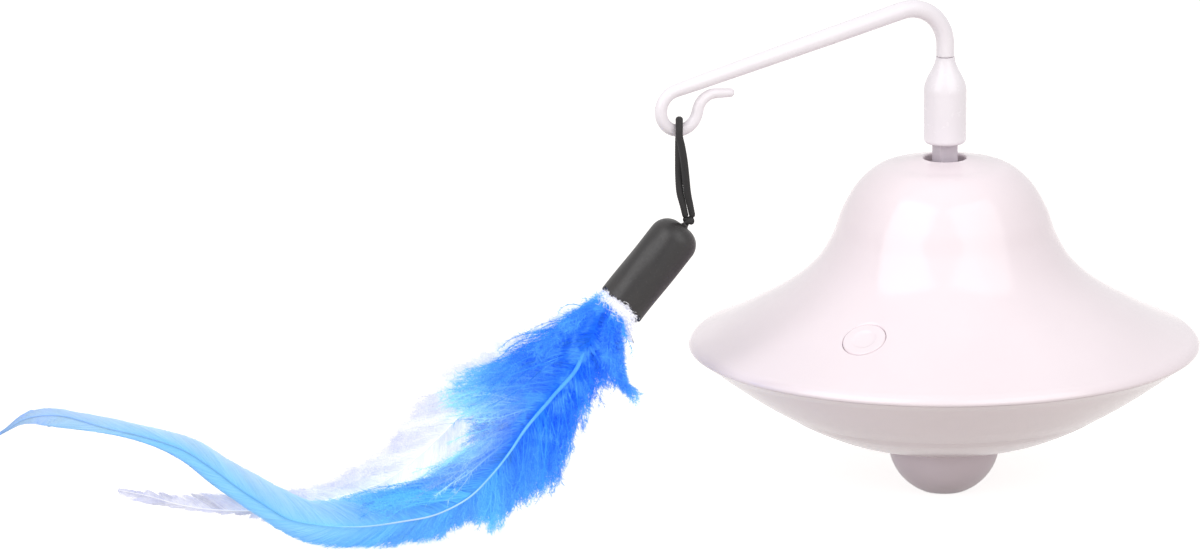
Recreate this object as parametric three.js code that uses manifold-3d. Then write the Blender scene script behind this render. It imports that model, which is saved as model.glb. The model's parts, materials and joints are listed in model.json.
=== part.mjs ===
// A battery cat toy: a bell-shaped body on a ball foot turns a plug-in wand, which sweeps feathers about.
// Millimetres, +Z up. The origin is the centre of the flat under the foot, and the body's axis is Z.
import * as THREE from "three";
import { mergeVertices } from "three/addons/utils/BufferGeometryUtils.js";
import Module from "manifold-3d";

const wasm = await Module();
wasm.setup();

// Body
const RIM_RADIUS = 63.2;
const BODY_HEIGHT = 84.3;
const RIM_HEIGHT = 38.4;
const SEAM_HEIGHT = 37.7;
const WALL = 2;
const GAP = 0.3;
const OVERRUN = 1;
const TOP_HOLE_RADIUS = 5.2;
const HOLE_ROUND = 0.4;
const LEDGE_RADIUS = 40.8;
const LEDGE_HEIGHT = 21.5;
const LIP_INSET = 8.6;
const LIP_RADIUS = RIM_RADIUS - LIP_INSET;
const LIP_THICKNESS = 1.4;
const LIP_RISE = 0.7;
const LIP_DROP = 2.1;
const SPIGOT_INSET = 2;
const SPIGOT_RADIUS = LEDGE_RADIUS - SPIGOT_INSET;
const SPIGOT_RISE = 3.5;

// The bell's outline: shares of the rim radius, and of the height from the rim to the top
const BELL_SHARES = [
  [0.12, 0.992],
  [0.18, 0.972],
  [0.26, 0.944],
  [0.338, 0.857],
  [0.402, 0.71],
  [0.437, 0.575],
  [0.491, 0.444],
  [0.555, 0.348],
  [0.64, 0.257],
  [0.751, 0.165],
  [0.86, 0.081],
  [0.94, 0.024],
  [0.983, 0.004],
];

// Foot
const FOOT_RADIUS = 13.7;
const FOOT_HEIGHT = 12;
const FOOT_FLAT_RADIUS = 5.4;
const FOOT_WALL = 3.4;
const FOOT_STEPS = 6;

// The dish's outline under the rim: shares of the way from the ledge to the seam, out and up
const DISH_SHARES = [
  [0.28054, 0.229],
  [0.66143, 0.59388],
  [0.98025, 0.94448],
];

// The cover's outline: shares of the way from the foot to the ledge, out and up
const COVER_SHARES = [
  [0.18943, 0.06763],
  [0.50193, 0.30569],
  [0.87974, 0.79264],
];

// Gear train
const GEAR_MODULE = 0.5;
const PRESSURE_ANGLE = THREE.MathUtils.degToRad(25);
const ADDENDUM_SHARE = 0.9;
const DEDENDUM_SHARE = 1.25;
const BACKLASH = 0.12;
const SMALL_TEETH = 10;
const BIG_TEETH = 36;
const OUTPUT_TEETH = 40;
const FACE_WIDTH = 3;
const TIER_GAP = 1;
const PIN_RADIUS = 0.8;
const HUB_RADIUS = 1.6;
const IDLER_BEARING = THREE.MathUtils.degToRad(0);

// Gearbox
const PLATE_HEIGHT = 50;
const PLATE_THICKNESS = 2.5;
const PLATE_RADIUS = 23.5;
const TOP_PLATE_RADIUS = 22.5;
const TOP_PLATE_THICKNESS = 2;
const COLUMN_RADIUS = 2.2;
const COLUMN_REACH = 20;
const SIDE_COLUMN_REACH = 21.2;
const COLUMN_PLACES = [
  { bearing: THREE.MathUtils.degToRad(27.4), radius: SIDE_COLUMN_REACH },
  { bearing: THREE.MathUtils.degToRad(155), radius: COLUMN_REACH },
  { bearing: THREE.MathUtils.degToRad(270), radius: COLUMN_REACH },
];
const EAR_RADIUS = 3.6;
const EAR_REACH = 30;
const EAR_BEARINGS = [0, 120, 240].map(THREE.MathUtils.degToRad);
const BOSS_RADIUS = 3;
const BUSH_RADIUS = 5.6;
const BUSH_FLANGE = 1.2;
const BOSS_SCREW_DEPTH = 3;

// Drive shaft
const SHAFT_SIDE = 4.65;
const SHAFT_TURN = THREE.MathUtils.degToRad(27);
const SHAFT_TOP = 98.4;
const SHAFT_ROUND_RADIUS = 2.3;
const SHAFT_COLLAR_RADIUS = 3.4;
const SHAFT_COLLAR_RISE = 4.4;
const SHAFT_PIVOT_RADIUS = 1.5;

// Motor
const MOTOR_RADIUS = 10;
const MOTOR_FLAT = 15.4;
const MOTOR_LENGTH = 19;
const MOTOR_CAP_LENGTH = 3;
const MOTOR_WALL = 1;
const MOTOR_SHAFT_RADIUS = 0.75;
const MOTOR_BOSS_RADIUS = 3;
const MOTOR_SCREW_REACH = 8;
const ARMATURE_RADIUS = 6;
const ARMATURE_SPAN_SHARES = [0.2, 0.75];

// Screws
const SCREW_RADIUS = 0.9;
const SCREW_HEAD_RADIUS = 1.8;
const SCREW_HEAD_HEIGHT = 1.3;
const SCREW_CROWN_SHARE = 0.8;
const SCREW_LENGTH = 5;

// Counterweight
const WEIGHT_RADIUS = 23;
const WEIGHT_THICKNESS = 7;
const WEIGHT_HEIGHT = 16.6;
const WEIGHT_SCREW_REACH = 16;
const WEIGHT_SCREW_LENGTH = 9.6;
const WEIGHT_SCREW_BEARINGS = [90, 190, 350].map(THREE.MathUtils.degToRad);

// Battery and boards
const CELL = { length: 34, width: 20, thickness: 6, offset: 17 };
const TRAY_WALL = 1.2;
const TRAY_RIM = 2.4;
const TRAY_EAR_OUT = 4;
const TRAY_EAR_RADIUS = 3;
const BOARD_THICKNESS = 1.2;
const CONTROL_BOARD = { length: 36, width: 16, offset: 32, height: 30 };
const CONTROL_POST_REACH = 14;
const POST_RADIUS = 2.2;

// The board's chips: place along and across it, and side, as shares of its length and width
const CHIP_SHARES = [
  [0.16, 0.05, 0.42],
  [-0.12, -0.12, 0.3],
  [-0.24, 0.18, 0.22],
];

// Button, in its own frame on the flange with +Z out of the surface
const BUTTON_RADIUS = 5.3;
const BUTTON_DISH_RADIUS = 3;
const BUTTON_DISH_DEPTH = 0.35;
const BUTTON_PROUD = 0.5;
const BUTTON_SLACK = 0.5;
const BUTTON_FLANGE_RADIUS = 6.3;
const BUTTON_FLANGE_THICKNESS = 0.9;
const BUTTON_TRAVEL = 0.8;
const BUTTON_STEM_RADIUS = 1.5;
const BUTTON_STEM_LENGTH = 1.8;
const BUTTON_INSET = 18.7;
const BUTTON_REACH = RIM_RADIUS - BUTTON_INSET;
const BUTTON_BEARING = THREE.MathUtils.degToRad(242.9);
const SWITCH_SIDE = 6;
const SWITCH_HEIGHT = 3.4;
const PLUNGER_RADIUS = 1.6;
const PLUNGER_HEIGHT = 1.2;
const SWITCH_BOARD = { length: 25, width: 9, depth: 11.3 };
const SWITCH_POST_REACH = 9.8;

// Charging socket, in its own frame on the underside with +Z out of the surface, at a share of the way
// from the ledge to the rim
const PORT_PLACE_SHARE = 0.32143;
const PORT_REACH = THREE.MathUtils.lerp(LEDGE_RADIUS, RIM_RADIUS, PORT_PLACE_SHARE);
const PORT_BEARING = THREE.MathUtils.degToRad(90);
const PORT_WIDTH = 8.9;
const PORT_HEIGHT = 3.2;
const PORT_DEPTH = 7.3;
const PORT_WALL = 0.35;
const PORT_FLOOR = 1;
const PORT_TONGUE = { width: 6.6, thickness: 0.7, length: 5 };
const PORT_RIB = { thickness: 1.8, width: 7, depth: 9 };
const PORT_CLEARANCE = 0.6;
const CHARGE_BOARD = { length: 20, width: 12 };

// Wand
const ARM_TURN = Math.PI + SHAFT_TURN;
const COLLAR_RADIUS = 5.3;
const COLLAR_BOTTOM = 88;
const COLLAR_SHOULDER = 101.7;
const COLLAR_TOP = 109.8;
const COLLAR_NECK_RADIUS = 2.35;
const COLLAR_FILLET = 1.2;
const FILLET_STEPS = 4;

// The neck's outline: shares from the neck's radius to the collar's, and of the height above the shoulder
const NECK_SHARES = [
  [1, 0],
  [0.86, 0.21],
  [0.61, 0.41],
  [0.36, 0.58],
  [0.15, 0.75],
  [0.03, 0.9],
  [0, 1],
];

const ROD_SPIGOT_RADIUS = 1.4;
const ROD_SPIGOT_LENGTH = 8;
const ARM_BEND_RADIUS = 10.1;
const ARM_BEND_RISE = 3;
const ARM_BEND_HEIGHT = COLLAR_TOP + ARM_BEND_RISE;
const ARM_SLOPE = THREE.MathUtils.degToRad(12.3);
const HOOK_REACH = 73.7;
const HOOK_RADIUS = 5.1;
const HOOK_END = THREE.MathUtils.degToRad(-172);
const CURL_RADIUS = 4.6;
const CURL_END = THREE.MathUtils.degToRad(95);
const CURL_TAIL = 4.4;
const ROD_BASE_RADIUS = 2.25;
const ROD_STEPS = 46;
const ROD_SIDES = 8;

// The rod's radius: shares of its length, and of its radius at the socket
const ROD_TAPER_SHARES = [
  [0, 1],
  [0.35, 0.97],
  [0.66, 0.8],
  [0.74, 0.69],
  [0.9, 0.66],
  [0.97, 0.54],
  [0.99, 0.44],
  [1, 0.2],
];

// Lure cord: the loop's centre line in the wand's own frame, chosen by hand
const CORD_DIAMETER = 1.6;
const CORD_SIDES = 8;
const CORD_STEPS = 26;
const CORD_POINTS = [
  [70.29, 0.3, 77.8],
  [70.86, 0.24, 80],
  [71.57, 0.3, 83],
  [72.26, 0.8, 87],
  [73.18, 1.6, 91.5],
  [74.29, 2.41, 95.5],
  [75.13, 2.81, 98.3],
  [75.12, 2.78, 100.1],
  [74.49, 1.56, 101.25],
  [73.7, 0, 101.65],
  [72.91, -1.56, 101.25],
  [72.28, -2.78, 100.1],
  [72.27, -2.81, 98.3],
  [72.67, -2.32, 95.5],
  [73.07, -1.59, 91.5],
  [73.27, -1.1, 87],
  [73.06, -0.82, 83],
  [72.41, -0.55, 80],
  [71.89, -0.28, 77.8],
];

// Lure, in its own frame under the knot: +X out along the feathers, +Z up
const KNOT_REACH = 71.1;
const KNOT_HEIGHT = 75.94;
const KNOT_RADIUS = 1.5;
const LURE_TURN = THREE.MathUtils.degToRad(-6.3);
const CAP_RADIUS = 6.2;
const CAP_LENGTH = 25.2;
const CAP_TILT = THREE.MathUtils.degToRad(42);
const CAP_DOME_RADIUS = 4.6;
const CAP_BORE_RADIUS = 4.9;
const CAP_BORE_DEPTH = 8;
const BINDING_PROUD = 1;
const BINDING_LENGTH = 6;

// Feathers: each rachis in shares of the span and of the knot's height, from the cap to the tip
const FEATHER_SPAN = 181.3;
const SPREAD_STEPS = 2;
const BLUE_FEATHER = {
  steps: 24,
  thickness: 4.4,
  width: 21,
  place: 0,
  spread: 0,
  rachisShares: [
    [0.105, 0.72],
    [0.164, 0.552],
    [0.255, 0.303],
    [0.314, 0.178],
    [0.385, 0.103],
    [0.496, 0.093],
    [0.612, 0.182],
    [0.691, 0.317],
    [0.776, 0.438],
    [0.924, 0.56],
    [1, 0.485],
  ],
  upperShares: [0.08, 0.42, 0.8, 1, 0.92, 0.58, 0.4, 0.31, 0.24, 0.19, 0.15, 0.12, 0.06],
  lowerShares: [0.08, 0.3, 0.6, 0.72, 0.42, 0.28, 0.27, 0.29, 0.27, 0.19, 0.13, 0.09, 0.05],
  thicknessShares: [0.4, 0.6, 0.9, 1, 0.8, 0.5, 0.4, 0.36, 0.34, 0.32, 0.3, 0.24, 0.16],
};
const WHITE_FEATHER = {
  steps: 18,
  thickness: 2.4,
  width: 14,
  place: -2.2,
  spread: -4.6,
  rachisShares: [
    [0.105, 0.72],
    [0.17, 0.6],
    [0.27, 0.46],
    [0.36, 0.33],
    [0.46, 0.235],
    [0.56, 0.18],
    [0.7, 0.2],
    [0.834, 0.276],
  ],
  upperShares: [0.08, 0.4, 0.75, 0.9, 0.8, 0.62, 0.45, 0.35, 0.25, 0.1],
  lowerShares: [0.08, 0.35, 0.7, 0.9, 0.85, 0.7, 0.5, 0.38, 0.25, 0.1],
  thicknessShares: [0.5, 0.8, 1, 0.9, 0.8, 0.7, 0.6, 0.55, 0.5, 0.4],
};
const SHORT_FEATHER = {
  steps: 7,
  thickness: 2,
  width: 4.2,
  place: 2.4,
  spread: 3.6,
  rachisShares: [
    [0.104, 0.715],
    [0.098, 0.62],
    [0.09, 0.52],
    [0.086, 0.425],
  ],
  upperShares: [0.2, 0.8, 1, 0.8, 0.4, 0.14],
  lowerShares: [0.2, 0.8, 1, 0.8, 0.4, 0.14],
  thicknessShares: [0.6, 1, 1, 0.8, 0.6, 0.4],
};

// A blade's section: shares of the width to each side, and of half the thickness
const BLADE_SHARES = [
  [1, -0.12],
  [0.5, -0.6],
  [0, -1],
  [-0.5, -0.6],
  [-1, -0.12],
  [-1, 0.12],
  [-0.5, 0.6],
  [0, 1],
  [0.5, 0.6],
  [1, 0.12],
];

// Inner leads: where each starts on the cell, motor, switch board or charge board, and its route on to the
// control board
const LEAD_RADIUS = 0.6;
const LEAD_CLEARANCE = 0.5;
const CELL_TERMINAL_ASIDE = 4;
const MOTOR_TERMINAL_DROP = 1.4;
const SWITCH_TERMINAL = { along: 13.4, depth: 12.8 };
const CHARGE_TERMINAL = { across: 0.63, along: -2, depth: 15.95 };
const LEAD_SIDES = 6;
const LEAD_STEPS = 8;
const LEAD_ROUTES = {
  battery_lead: [
    [20.6, -20.5, 29.6],
    [22.5, -18.5, 31.4],
    [24.5, -16, 32.3],
    [27, -13.5, 32.2],
  ],
  motor_lead: [
    [8, 11.4, 28.6],
    [15, 9, 30],
    [21, 6, 32],
    [26, 4, 32.3],
  ],
  switch_lead: [
    [5, -38, 36],
    [16, -32, 35],
    [25, -24, 34.4],
    [32, -19.6, 34.4],
    [36.4, -15.6, 33.4],
    [37.6, -11.6, 32.2],
  ],
  charge_lead: [
    [9, 36, 38],
    [18, 29, 36.4],
    [25, 21, 34.4],
    [28.5, 15, 33],
    [30, 11, 32.4],
  ],
};

// Facets
const SHELL_SEGMENTS = 32;
const BELL_STEPS = 11;
const ROUND_SEGMENTS = 20;
const SMALL_SEGMENTS = 6;
const SCREW_SEGMENTS = 6;
const MERGE_DISTANCE = 1e-4;

// Colours and finishes
const FINISHES = {
  gloss: { color: 0xfdf2f8, roughness: 0.18, metalness: 0 },
  inner: { color: 0xe9e4e8, roughness: 0.5, metalness: 0 },
  foot: { color: 0xcfc2c9, roughness: 0.45, metalness: 0 },
  shaft: { color: 0xdcd1da, roughness: 0.35, metalness: 0 },
  steel: { color: 0xa8abb0, roughness: 0.35, metalness: 1 },
  brass: { color: 0xc9a85c, roughness: 0.35, metalness: 1 },
  board: { color: 0x1f6b3a, roughness: 0.6, metalness: 0 },
  cell: { color: 0xb9bcc2, roughness: 0.4, metalness: 0.6 },
  black: { color: 0x2a2829, roughness: 0.6, metalness: 0 },
  cord: { color: 0x171617, roughness: 0.85, metalness: 0 },
  blue: { color: 0x2f82f8, roughness: 0.85, metalness: 0 },
  white: { color: 0xf1f3fa, roughness: 0.9, metalness: 0 },
  lead: { color: 0xb3262a, roughness: 0.5, metalness: 0 },
};

// Booleans
function solidOf(geometry) {
  const bare = geometry.clone();
  bare.deleteAttribute("normal");
  bare.deleteAttribute("uv");
  const merged = mergeVertices(bare, MERGE_DISTANCE);
  return new wasm.Manifold(
    new wasm.Mesh({
      numProp: 3,
      vertProperties: merged.getAttribute("position").array,
      triVerts: new Uint32Array(merged.index.array),
    }),
  );
}

function geometryOf(solid) {
  const mesh = solid.getMesh();
  const geometry = new THREE.BufferGeometry();
  geometry.setAttribute("position", new THREE.BufferAttribute(mesh.vertProperties, mesh.numProp));
  geometry.setIndex(new THREE.BufferAttribute(mesh.triVerts, 1));
  return geometry;
}

function joined(first, ...others) {
  return geometryOf(others.reduce((sum, other) => sum.add(solidOf(other)), solidOf(first)));
}

function cutBy(first, ...tools) {
  return geometryOf(tools.reduce((rest, tool) => rest.subtract(solidOf(tool)), solidOf(first)));
}

function within(first, limit) {
  return geometryOf(solidOf(first).intersect(solidOf(limit)));
}

// Shapes
function revolved(profile, segments = ROUND_SEGMENTS) {
  const points = profile.map(([radius, height]) => new THREE.Vector2(radius, height));
  const ordered = THREE.ShapeUtils.isClockWise(points) ? points.reverse() : points;
  const onAxis = ordered[0].x === 0 && ordered[ordered.length - 1].x === 0;
  const closed = onAxis ? ordered : [...ordered, ordered[0].clone()];
  return new THREE.LatheGeometry(closed, segments).rotateX(Math.PI / 2);
}

function cylinder(radius, from, to, segments = ROUND_SEGMENTS) {
  return revolved(
    [
      [0, from],
      [radius, from],
      [radius, to],
      [0, to],
    ],
    segments,
  );
}

function ring(inner, outer, from, to, segments = ROUND_SEGMENTS) {
  return revolved(
    [
      [inner, from],
      [outer, from],
      [outer, to],
      [inner, to],
    ],
    segments,
  );
}

function box(width, depth, from, to) {
  return new THREE.BoxGeometry(width, depth, to - from).translate(0, 0, (from + to) / 2);
}

function extruded(points, from, to) {
  const settings = { depth: to - from, bevelEnabled: false };
  return new THREE.ExtrudeGeometry(new THREE.Shape(points), settings).translate(0, 0, from);
}

function at(bearing, radius) {
  return [radius * Math.cos(bearing), radius * Math.sin(bearing)];
}

function moved(geometry, x, y) {
  return geometry.clone().translate(x, y, 0);
}

// A small round column or hole at a place
function peg([x, y], radius, from, to) {
  return moved(cylinder(radius, from, to, SMALL_SEGMENTS), x, y);
}

// A closed body through rings of points, with a flat or pointed end
function lofted(rings) {
  const sides = rings[0].length;
  const corners = rings.flat();
  const faces = [];
  rings.slice(1).forEach((_, step) => {
    for (let side = 0; side < sides; side += 1) {
      const next = (side + 1) % sides;
      const [a, b] = [step * sides + side, step * sides + next];
      const [c, d] = [a + sides, b + sides];
      faces.push(a, b, c, b, d, c);
    }
  });
  const last = (rings.length - 1) * sides;
  for (let side = 1; side < sides - 1; side += 1) {
    faces.push(0, side + 1, side);
    faces.push(last, last + side, last + side + 1);
  }
  const geometry = new THREE.BufferGeometry().setFromPoints(corners);
  geometry.setIndex(faces);
  return geometry;
}

function shareAt(table, share) {
  const place = share * (table.length - 1);
  const step = Math.min(Math.floor(place), table.length - 2);
  return THREE.MathUtils.lerp(table[step], table[step + 1], place - step);
}

// A round tube along points in space, its radius given by a function of the share of its length
function tube(points, radiusAt, sides, startNormal) {
  let normal = startNormal.clone();
  const rings = points.map((point, step) => {
    const before = points[Math.max(step - 1, 0)];
    const after = points[Math.min(step + 1, points.length - 1)];
    const tangent = after.clone().sub(before).normalize();
    normal = normal.addScaledVector(tangent, -normal.dot(tangent)).normalize();
    const side = tangent.clone().cross(normal);
    const radius = radiusAt(step / (points.length - 1));
    return Array.from({ length: sides }, (_, corner) => {
      const angle = (2 * Math.PI * corner) / sides;
      return point
        .clone()
        .addScaledVector(normal, radius * Math.cos(angle))
        .addScaledVector(side, radius * Math.sin(angle));
    });
  });
  return lofted(rings);
}

// A round cord along a route of points, its section swept along a smooth curve
function cordAlong(route, radius, sides, steps) {
  const extrudePath = new THREE.CatmullRomCurve3(route.map((point) => new THREE.Vector3(...point)));
  const corners = Array.from({ length: sides }, (_, corner) => at((2 * Math.PI * corner) / sides, radius));
  const section = new THREE.Shape(corners.map(([x, y]) => new THREE.Vector2(x, y)));
  return new THREE.ExtrudeGeometry(section, { steps, bevelEnabled: false, extrudePath });
}

// Outlines of the body
function bellOutline() {
  const points = BELL_SHARES.map(
    ([radius, height]) =>
      new THREE.Vector2(radius * RIM_RADIUS, RIM_HEIGHT + height * (BODY_HEIGHT - RIM_HEIGHT)),
  );
  const curve = new THREE.SplineCurve(points);
  const outline = curve.getSpacedPoints(BELL_STEPS).map((point) => [point.x, point.y]);
  return [[TOP_HOLE_RADIUS + HOLE_ROUND, BODY_HEIGHT], ...outline, [RIM_RADIUS, SEAM_HEIGHT]];
}

// Points at given shares of the way between two corners of an outline
function sharesBetween(shares, from, to) {
  return shares.map((share) => share.map((value, axis) => THREE.MathUtils.lerp(from[axis], to[axis], value)));
}

// An outline moved along its own normal by a distance, to the left of its direction when positive
function offset(outline, distance) {
  return outline.map((point, step) => {
    const before = outline[Math.max(step - 1, 0)];
    const after = outline[Math.min(step + 1, outline.length - 1)];
    const [x, y] = [after[0] - before[0], after[1] - before[1]];
    const length = Math.hypot(x, y);
    return [point[0] - (distance * y) / length, point[1] + (distance * x) / length];
  });
}

// The part of an outline from its start to where it crosses a height, ended exactly on it
function endedAt(outline, height) {
  const side = Math.sign(outline[0][1] - height);
  const last = outline.findIndex((point) => side * (point[1] - height) <= 0);
  const [near, far] = [outline[last - 1], outline[last]];
  const radius = THREE.MathUtils.mapLinear(height, near[1], far[1], near[0], far[0]);
  return [...outline.slice(0, last), [radius, height]];
}

function heightOn(outline, radius) {
  const step = outline.findIndex((point) => point[0] >= radius);
  const [near, far] = [outline[step - 1], outline[step]];
  return THREE.MathUtils.mapLinear(radius, near[0], far[0], near[1], far[1]);
}

function slopeOn(outline, radius) {
  const step = outline.findIndex((point) => point[0] >= radius);
  const [near, far] = [outline[step - 1], outline[step]];
  return Math.atan2(far[1] - near[1], far[0] - near[0]);
}

const bell = bellOutline();
const ledge = [LEDGE_RADIUS, LEDGE_HEIGHT];
const dish = [
  ledge,
  ...sharesBetween(DISH_SHARES, ledge, [RIM_RADIUS, SEAM_HEIGHT]),
  [RIM_RADIUS, SEAM_HEIGHT - GAP],
];
const cover = [
  [FOOT_RADIUS, FOOT_HEIGHT + GAP],
  ...sharesBetween(COVER_SHARES, [FOOT_RADIUS, FOOT_HEIGHT], ledge),
  [LEDGE_RADIUS - GAP, LEDGE_HEIGHT],
];
const bellFull = revolved([[0, BODY_HEIGHT], ...bell, [0, SEAM_HEIGHT]], SHELL_SEGMENTS);
const dishFull = revolved(
  [[0, FOOT_HEIGHT + GAP], ...cover, ...dish.slice(1), [0, SEAM_HEIGHT - GAP]],
  SHELL_SEGMENTS,
);

// A frame seated on the body's surface, with +Z out of it: facing up on the bell, down on the dish
function surfaceSeat(outline, reach, bearing, facesDown) {
  const turn = new THREE.Group();
  const seat = new THREE.Group();
  const slope = slopeOn(outline, reach);
  turn.rotation.z = bearing;
  seat.position.set(reach, 0, heightOn(outline, reach));
  seat.rotation.y = facesDown ? Math.PI - slope : -slope;
  turn.add(seat);
  turn.updateMatrixWorld(true);
  return seat;
}

const buttonSeat = surfaceSeat(bell, BUTTON_REACH, BUTTON_BEARING, false);
const portSeat = surfaceSeat(dish, PORT_REACH, PORT_BEARING, true);

function placedOn(seat, geometry) {
  return geometry.clone().applyMatrix4(seat.matrixWorld);
}

// Screws: the head's underside is at zero and the shank points up
function screwShape(length) {
  return revolved(
    [
      [0, -SCREW_HEAD_HEIGHT],
      [SCREW_HEAD_RADIUS * SCREW_CROWN_SHARE, -SCREW_HEAD_HEIGHT],
      [SCREW_HEAD_RADIUS, 0],
      [SCREW_RADIUS, 0],
      [SCREW_RADIUS, length],
      [0, length],
    ],
    SCREW_SEGMENTS,
  );
}

function screwHoles(places, from, to) {
  return places.map((place) => peg(place, SCREW_RADIUS + GAP, from, to));
}

function posts(places, radius, from, to) {
  return places.map((place) => peg(place, radius, from, to));
}

// Levels of the gear train, counted up from the lower plate
const plateTop = PLATE_HEIGHT + PLATE_THICKNESS;
const tier = (level) => plateTop + TIER_GAP + level * (FACE_WIDTH + TIER_GAP);
const topPlateHeight = tier(3);
const topPlateTop = topPlateHeight + TOP_PLATE_THICKNESS;
const pitchRadius = (teeth) => (GEAR_MODULE * teeth) / 2;

// The idlers and the motor stand on one circle round the output shaft, a mesh apart along its chords
const trainRadius = pitchRadius(OUTPUT_TEETH) + pitchRadius(SMALL_TEETH);
const meshDistance = pitchRadius(BIG_TEETH) + pitchRadius(SMALL_TEETH);
const meshStep = 2 * Math.asin(meshDistance / (2 * trainRadius));
const idlerPlaces = [at(IDLER_BEARING + meshStep, trainRadius), at(IDLER_BEARING, trainRadius)];
const motorPlace = at(IDLER_BEARING + 2 * meshStep, trainRadius);
const motorScrewPlaces = [-1, 1].map((side) => [motorPlace[0], motorPlace[1] + side * MOTOR_SCREW_REACH]);
const columnPlaces = COLUMN_PLACES.map(({ bearing, radius }) => at(bearing, radius));
const earPlaces = EAR_BEARINGS.map((bearing) => at(bearing, EAR_REACH));

// Gears: involute teeth thinned by the backlash, the first tooth centred on a bearing
const involute = (angle) => Math.tan(angle) - angle;

function gearPoints(teeth, bearing) {
  const pitch = pitchRadius(teeth);
  const base = pitch * Math.cos(PRESSURE_ANGLE);
  const tip = pitch + ADDENDUM_SHARE * GEAR_MODULE;
  const root = pitch - DEDENDUM_SHARE * GEAR_MODULE;
  const start = Math.max(base, root);
  const radii = root < start ? [root, start, (start + tip) / 2, tip] : [root, tip];
  const halfAtPitch = Math.PI / (2 * teeth) - BACKLASH / (4 * pitch);
  const angleAt = (radius) => Math.acos(Math.min(base / radius, 1));
  const halfAt = (radius) => halfAtPitch + involute(PRESSURE_ANGLE) - involute(angleAt(radius));
  return Array.from({ length: teeth }, (_, tooth) => {
    const centre = bearing + (2 * Math.PI * tooth) / teeth;
    const rising = radii.map((radius) => at(centre - halfAt(radius), radius));
    const falling = [...radii].reverse().map((radius) => at(centre + halfAt(radius), radius));
    return [...rising, ...falling];
  })
    .flat()
    .map(([x, y]) => new THREE.Vector2(x, y));
}

// The bearing that puts a gap of the follower where the driver, met in a direction, has a tooth
function meshBearing(driverBearing, driverTeeth, followerTeeth, direction) {
  const phase = ((direction - driverBearing) * driverTeeth) / (2 * Math.PI);
  return direction + Math.PI - ((0.5 - phase) * 2 * Math.PI) / followerTeeth;
}

const directionTo = (from, to) => Math.atan2(to[1] - from[1], to[0] - from[0]);
const outputBearing = 0;
const idler2Bearing = meshBearing(outputBearing, OUTPUT_TEETH, SMALL_TEETH, IDLER_BEARING);
const idler1Bearing = meshBearing(
  idler2Bearing,
  BIG_TEETH,
  SMALL_TEETH,
  directionTo(idlerPlaces[1], idlerPlaces[0]),
);
const pinionBearing = meshBearing(
  idler1Bearing,
  BIG_TEETH,
  SMALL_TEETH,
  directionTo(idlerPlaces[0], motorPlace),
);

// Two gears moulded as one on a hub, the big one on its own level and the small one a level up
function compoundGear(level, bearing) {
  const boreRadius = PIN_RADIUS + GAP;
  const bigFrom = tier(level);
  const bigTo = bigFrom + FACE_WIDTH;
  const smallTo = bigTo + TIER_GAP + FACE_WIDTH;
  const big = extruded(gearPoints(BIG_TEETH, bearing), bigFrom, bigTo);
  const small = extruded(gearPoints(SMALL_TEETH, bearing), bigTo - TIER_GAP / 2, smallTo);
  const hub = cylinder(HUB_RADIUS, plateTop + GAP, topPlateHeight - GAP, SMALL_SEGMENTS);
  return cutBy(joined(big, small, hub), cylinder(boreRadius, plateTop, topPlateHeight, SMALL_SEGMENTS));
}

function outputGear() {
  const disc = extruded(gearPoints(OUTPUT_TEETH, outputBearing), tier(2), tier(2) + FACE_WIDTH);
  const side = SHAFT_SIDE + 2 * GAP;
  const bore = box(side, side, tier(2) - OVERRUN, tier(3)).rotateZ(SHAFT_TURN);
  return cutBy(disc, bore);
}

function driveShaft() {
  const gearBottom = tier(2) - GAP;
  const collarBottom = tier(2) + FACE_WIDTH + GAP;
  const collarTop = collarBottom + SHAFT_COLLAR_RISE;
  const turned = revolved([
    [0, PLATE_HEIGHT],
    [SHAFT_PIVOT_RADIUS, PLATE_HEIGHT],
    [SHAFT_PIVOT_RADIUS, plateTop + GAP],
    [SHAFT_ROUND_RADIUS, plateTop + GAP],
    [SHAFT_ROUND_RADIUS, collarBottom],
    [SHAFT_COLLAR_RADIUS, collarBottom],
    [SHAFT_COLLAR_RADIUS, collarTop],
    [0, collarTop],
  ]);
  const square = box(SHAFT_SIDE, SHAFT_SIDE, gearBottom, SHAFT_TOP).rotateZ(SHAFT_TURN);
  return joined(turned, square);
}

function motorPinion() {
  const disc = extruded(gearPoints(SMALL_TEETH, pinionBearing), tier(0) - GAP, tier(0) + FACE_WIDTH);
  return cutBy(disc, cylinder(MOTOR_SHAFT_RADIUS + GAP, PLATE_HEIGHT, tier(1), SMALL_SEGMENTS));
}

// Motor, on its own axis
const canTop = PLATE_HEIGHT - GAP;
const canBottom = canTop - MOTOR_LENGTH;
const endCapTop = canBottom - GAP;

function motorOutline(radius, flat, from, to) {
  return within(cylinder(radius, from, to), box(flat, 2 * radius, from, to));
}

function motorCan() {
  const outside = motorOutline(MOTOR_RADIUS, MOTOR_FLAT, canBottom, canTop);
  const flat = MOTOR_FLAT - 2 * MOTOR_WALL;
  const inside = motorOutline(MOTOR_RADIUS - MOTOR_WALL, flat, canBottom - OVERRUN, canTop - MOTOR_WALL);
  const boss = cylinder(MOTOR_BOSS_RADIUS, canTop - MOTOR_WALL, plateTop - GAP);
  const bore = cylinder(MOTOR_SHAFT_RADIUS + GAP, canBottom, plateTop, SMALL_SEGMENTS);
  const screwPlaces = [-1, 1].map((side) => [0, side * MOTOR_SCREW_REACH]);
  const holes = screwHoles(screwPlaces, canBottom, canTop + OVERRUN);
  return cutBy(joined(cutBy(outside, inside), boss), bore, ...holes);
}

function motorEndCap() {
  const disc = motorOutline(MOTOR_RADIUS, MOTOR_FLAT, endCapTop - MOTOR_CAP_LENGTH, endCapTop);
  const pocketBottom = endCapTop - MOTOR_CAP_LENGTH / 2;
  const pocket = cylinder(MOTOR_SHAFT_RADIUS + GAP, pocketBottom, canTop, SMALL_SEGMENTS);
  return cutBy(disc, pocket);
}

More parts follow.
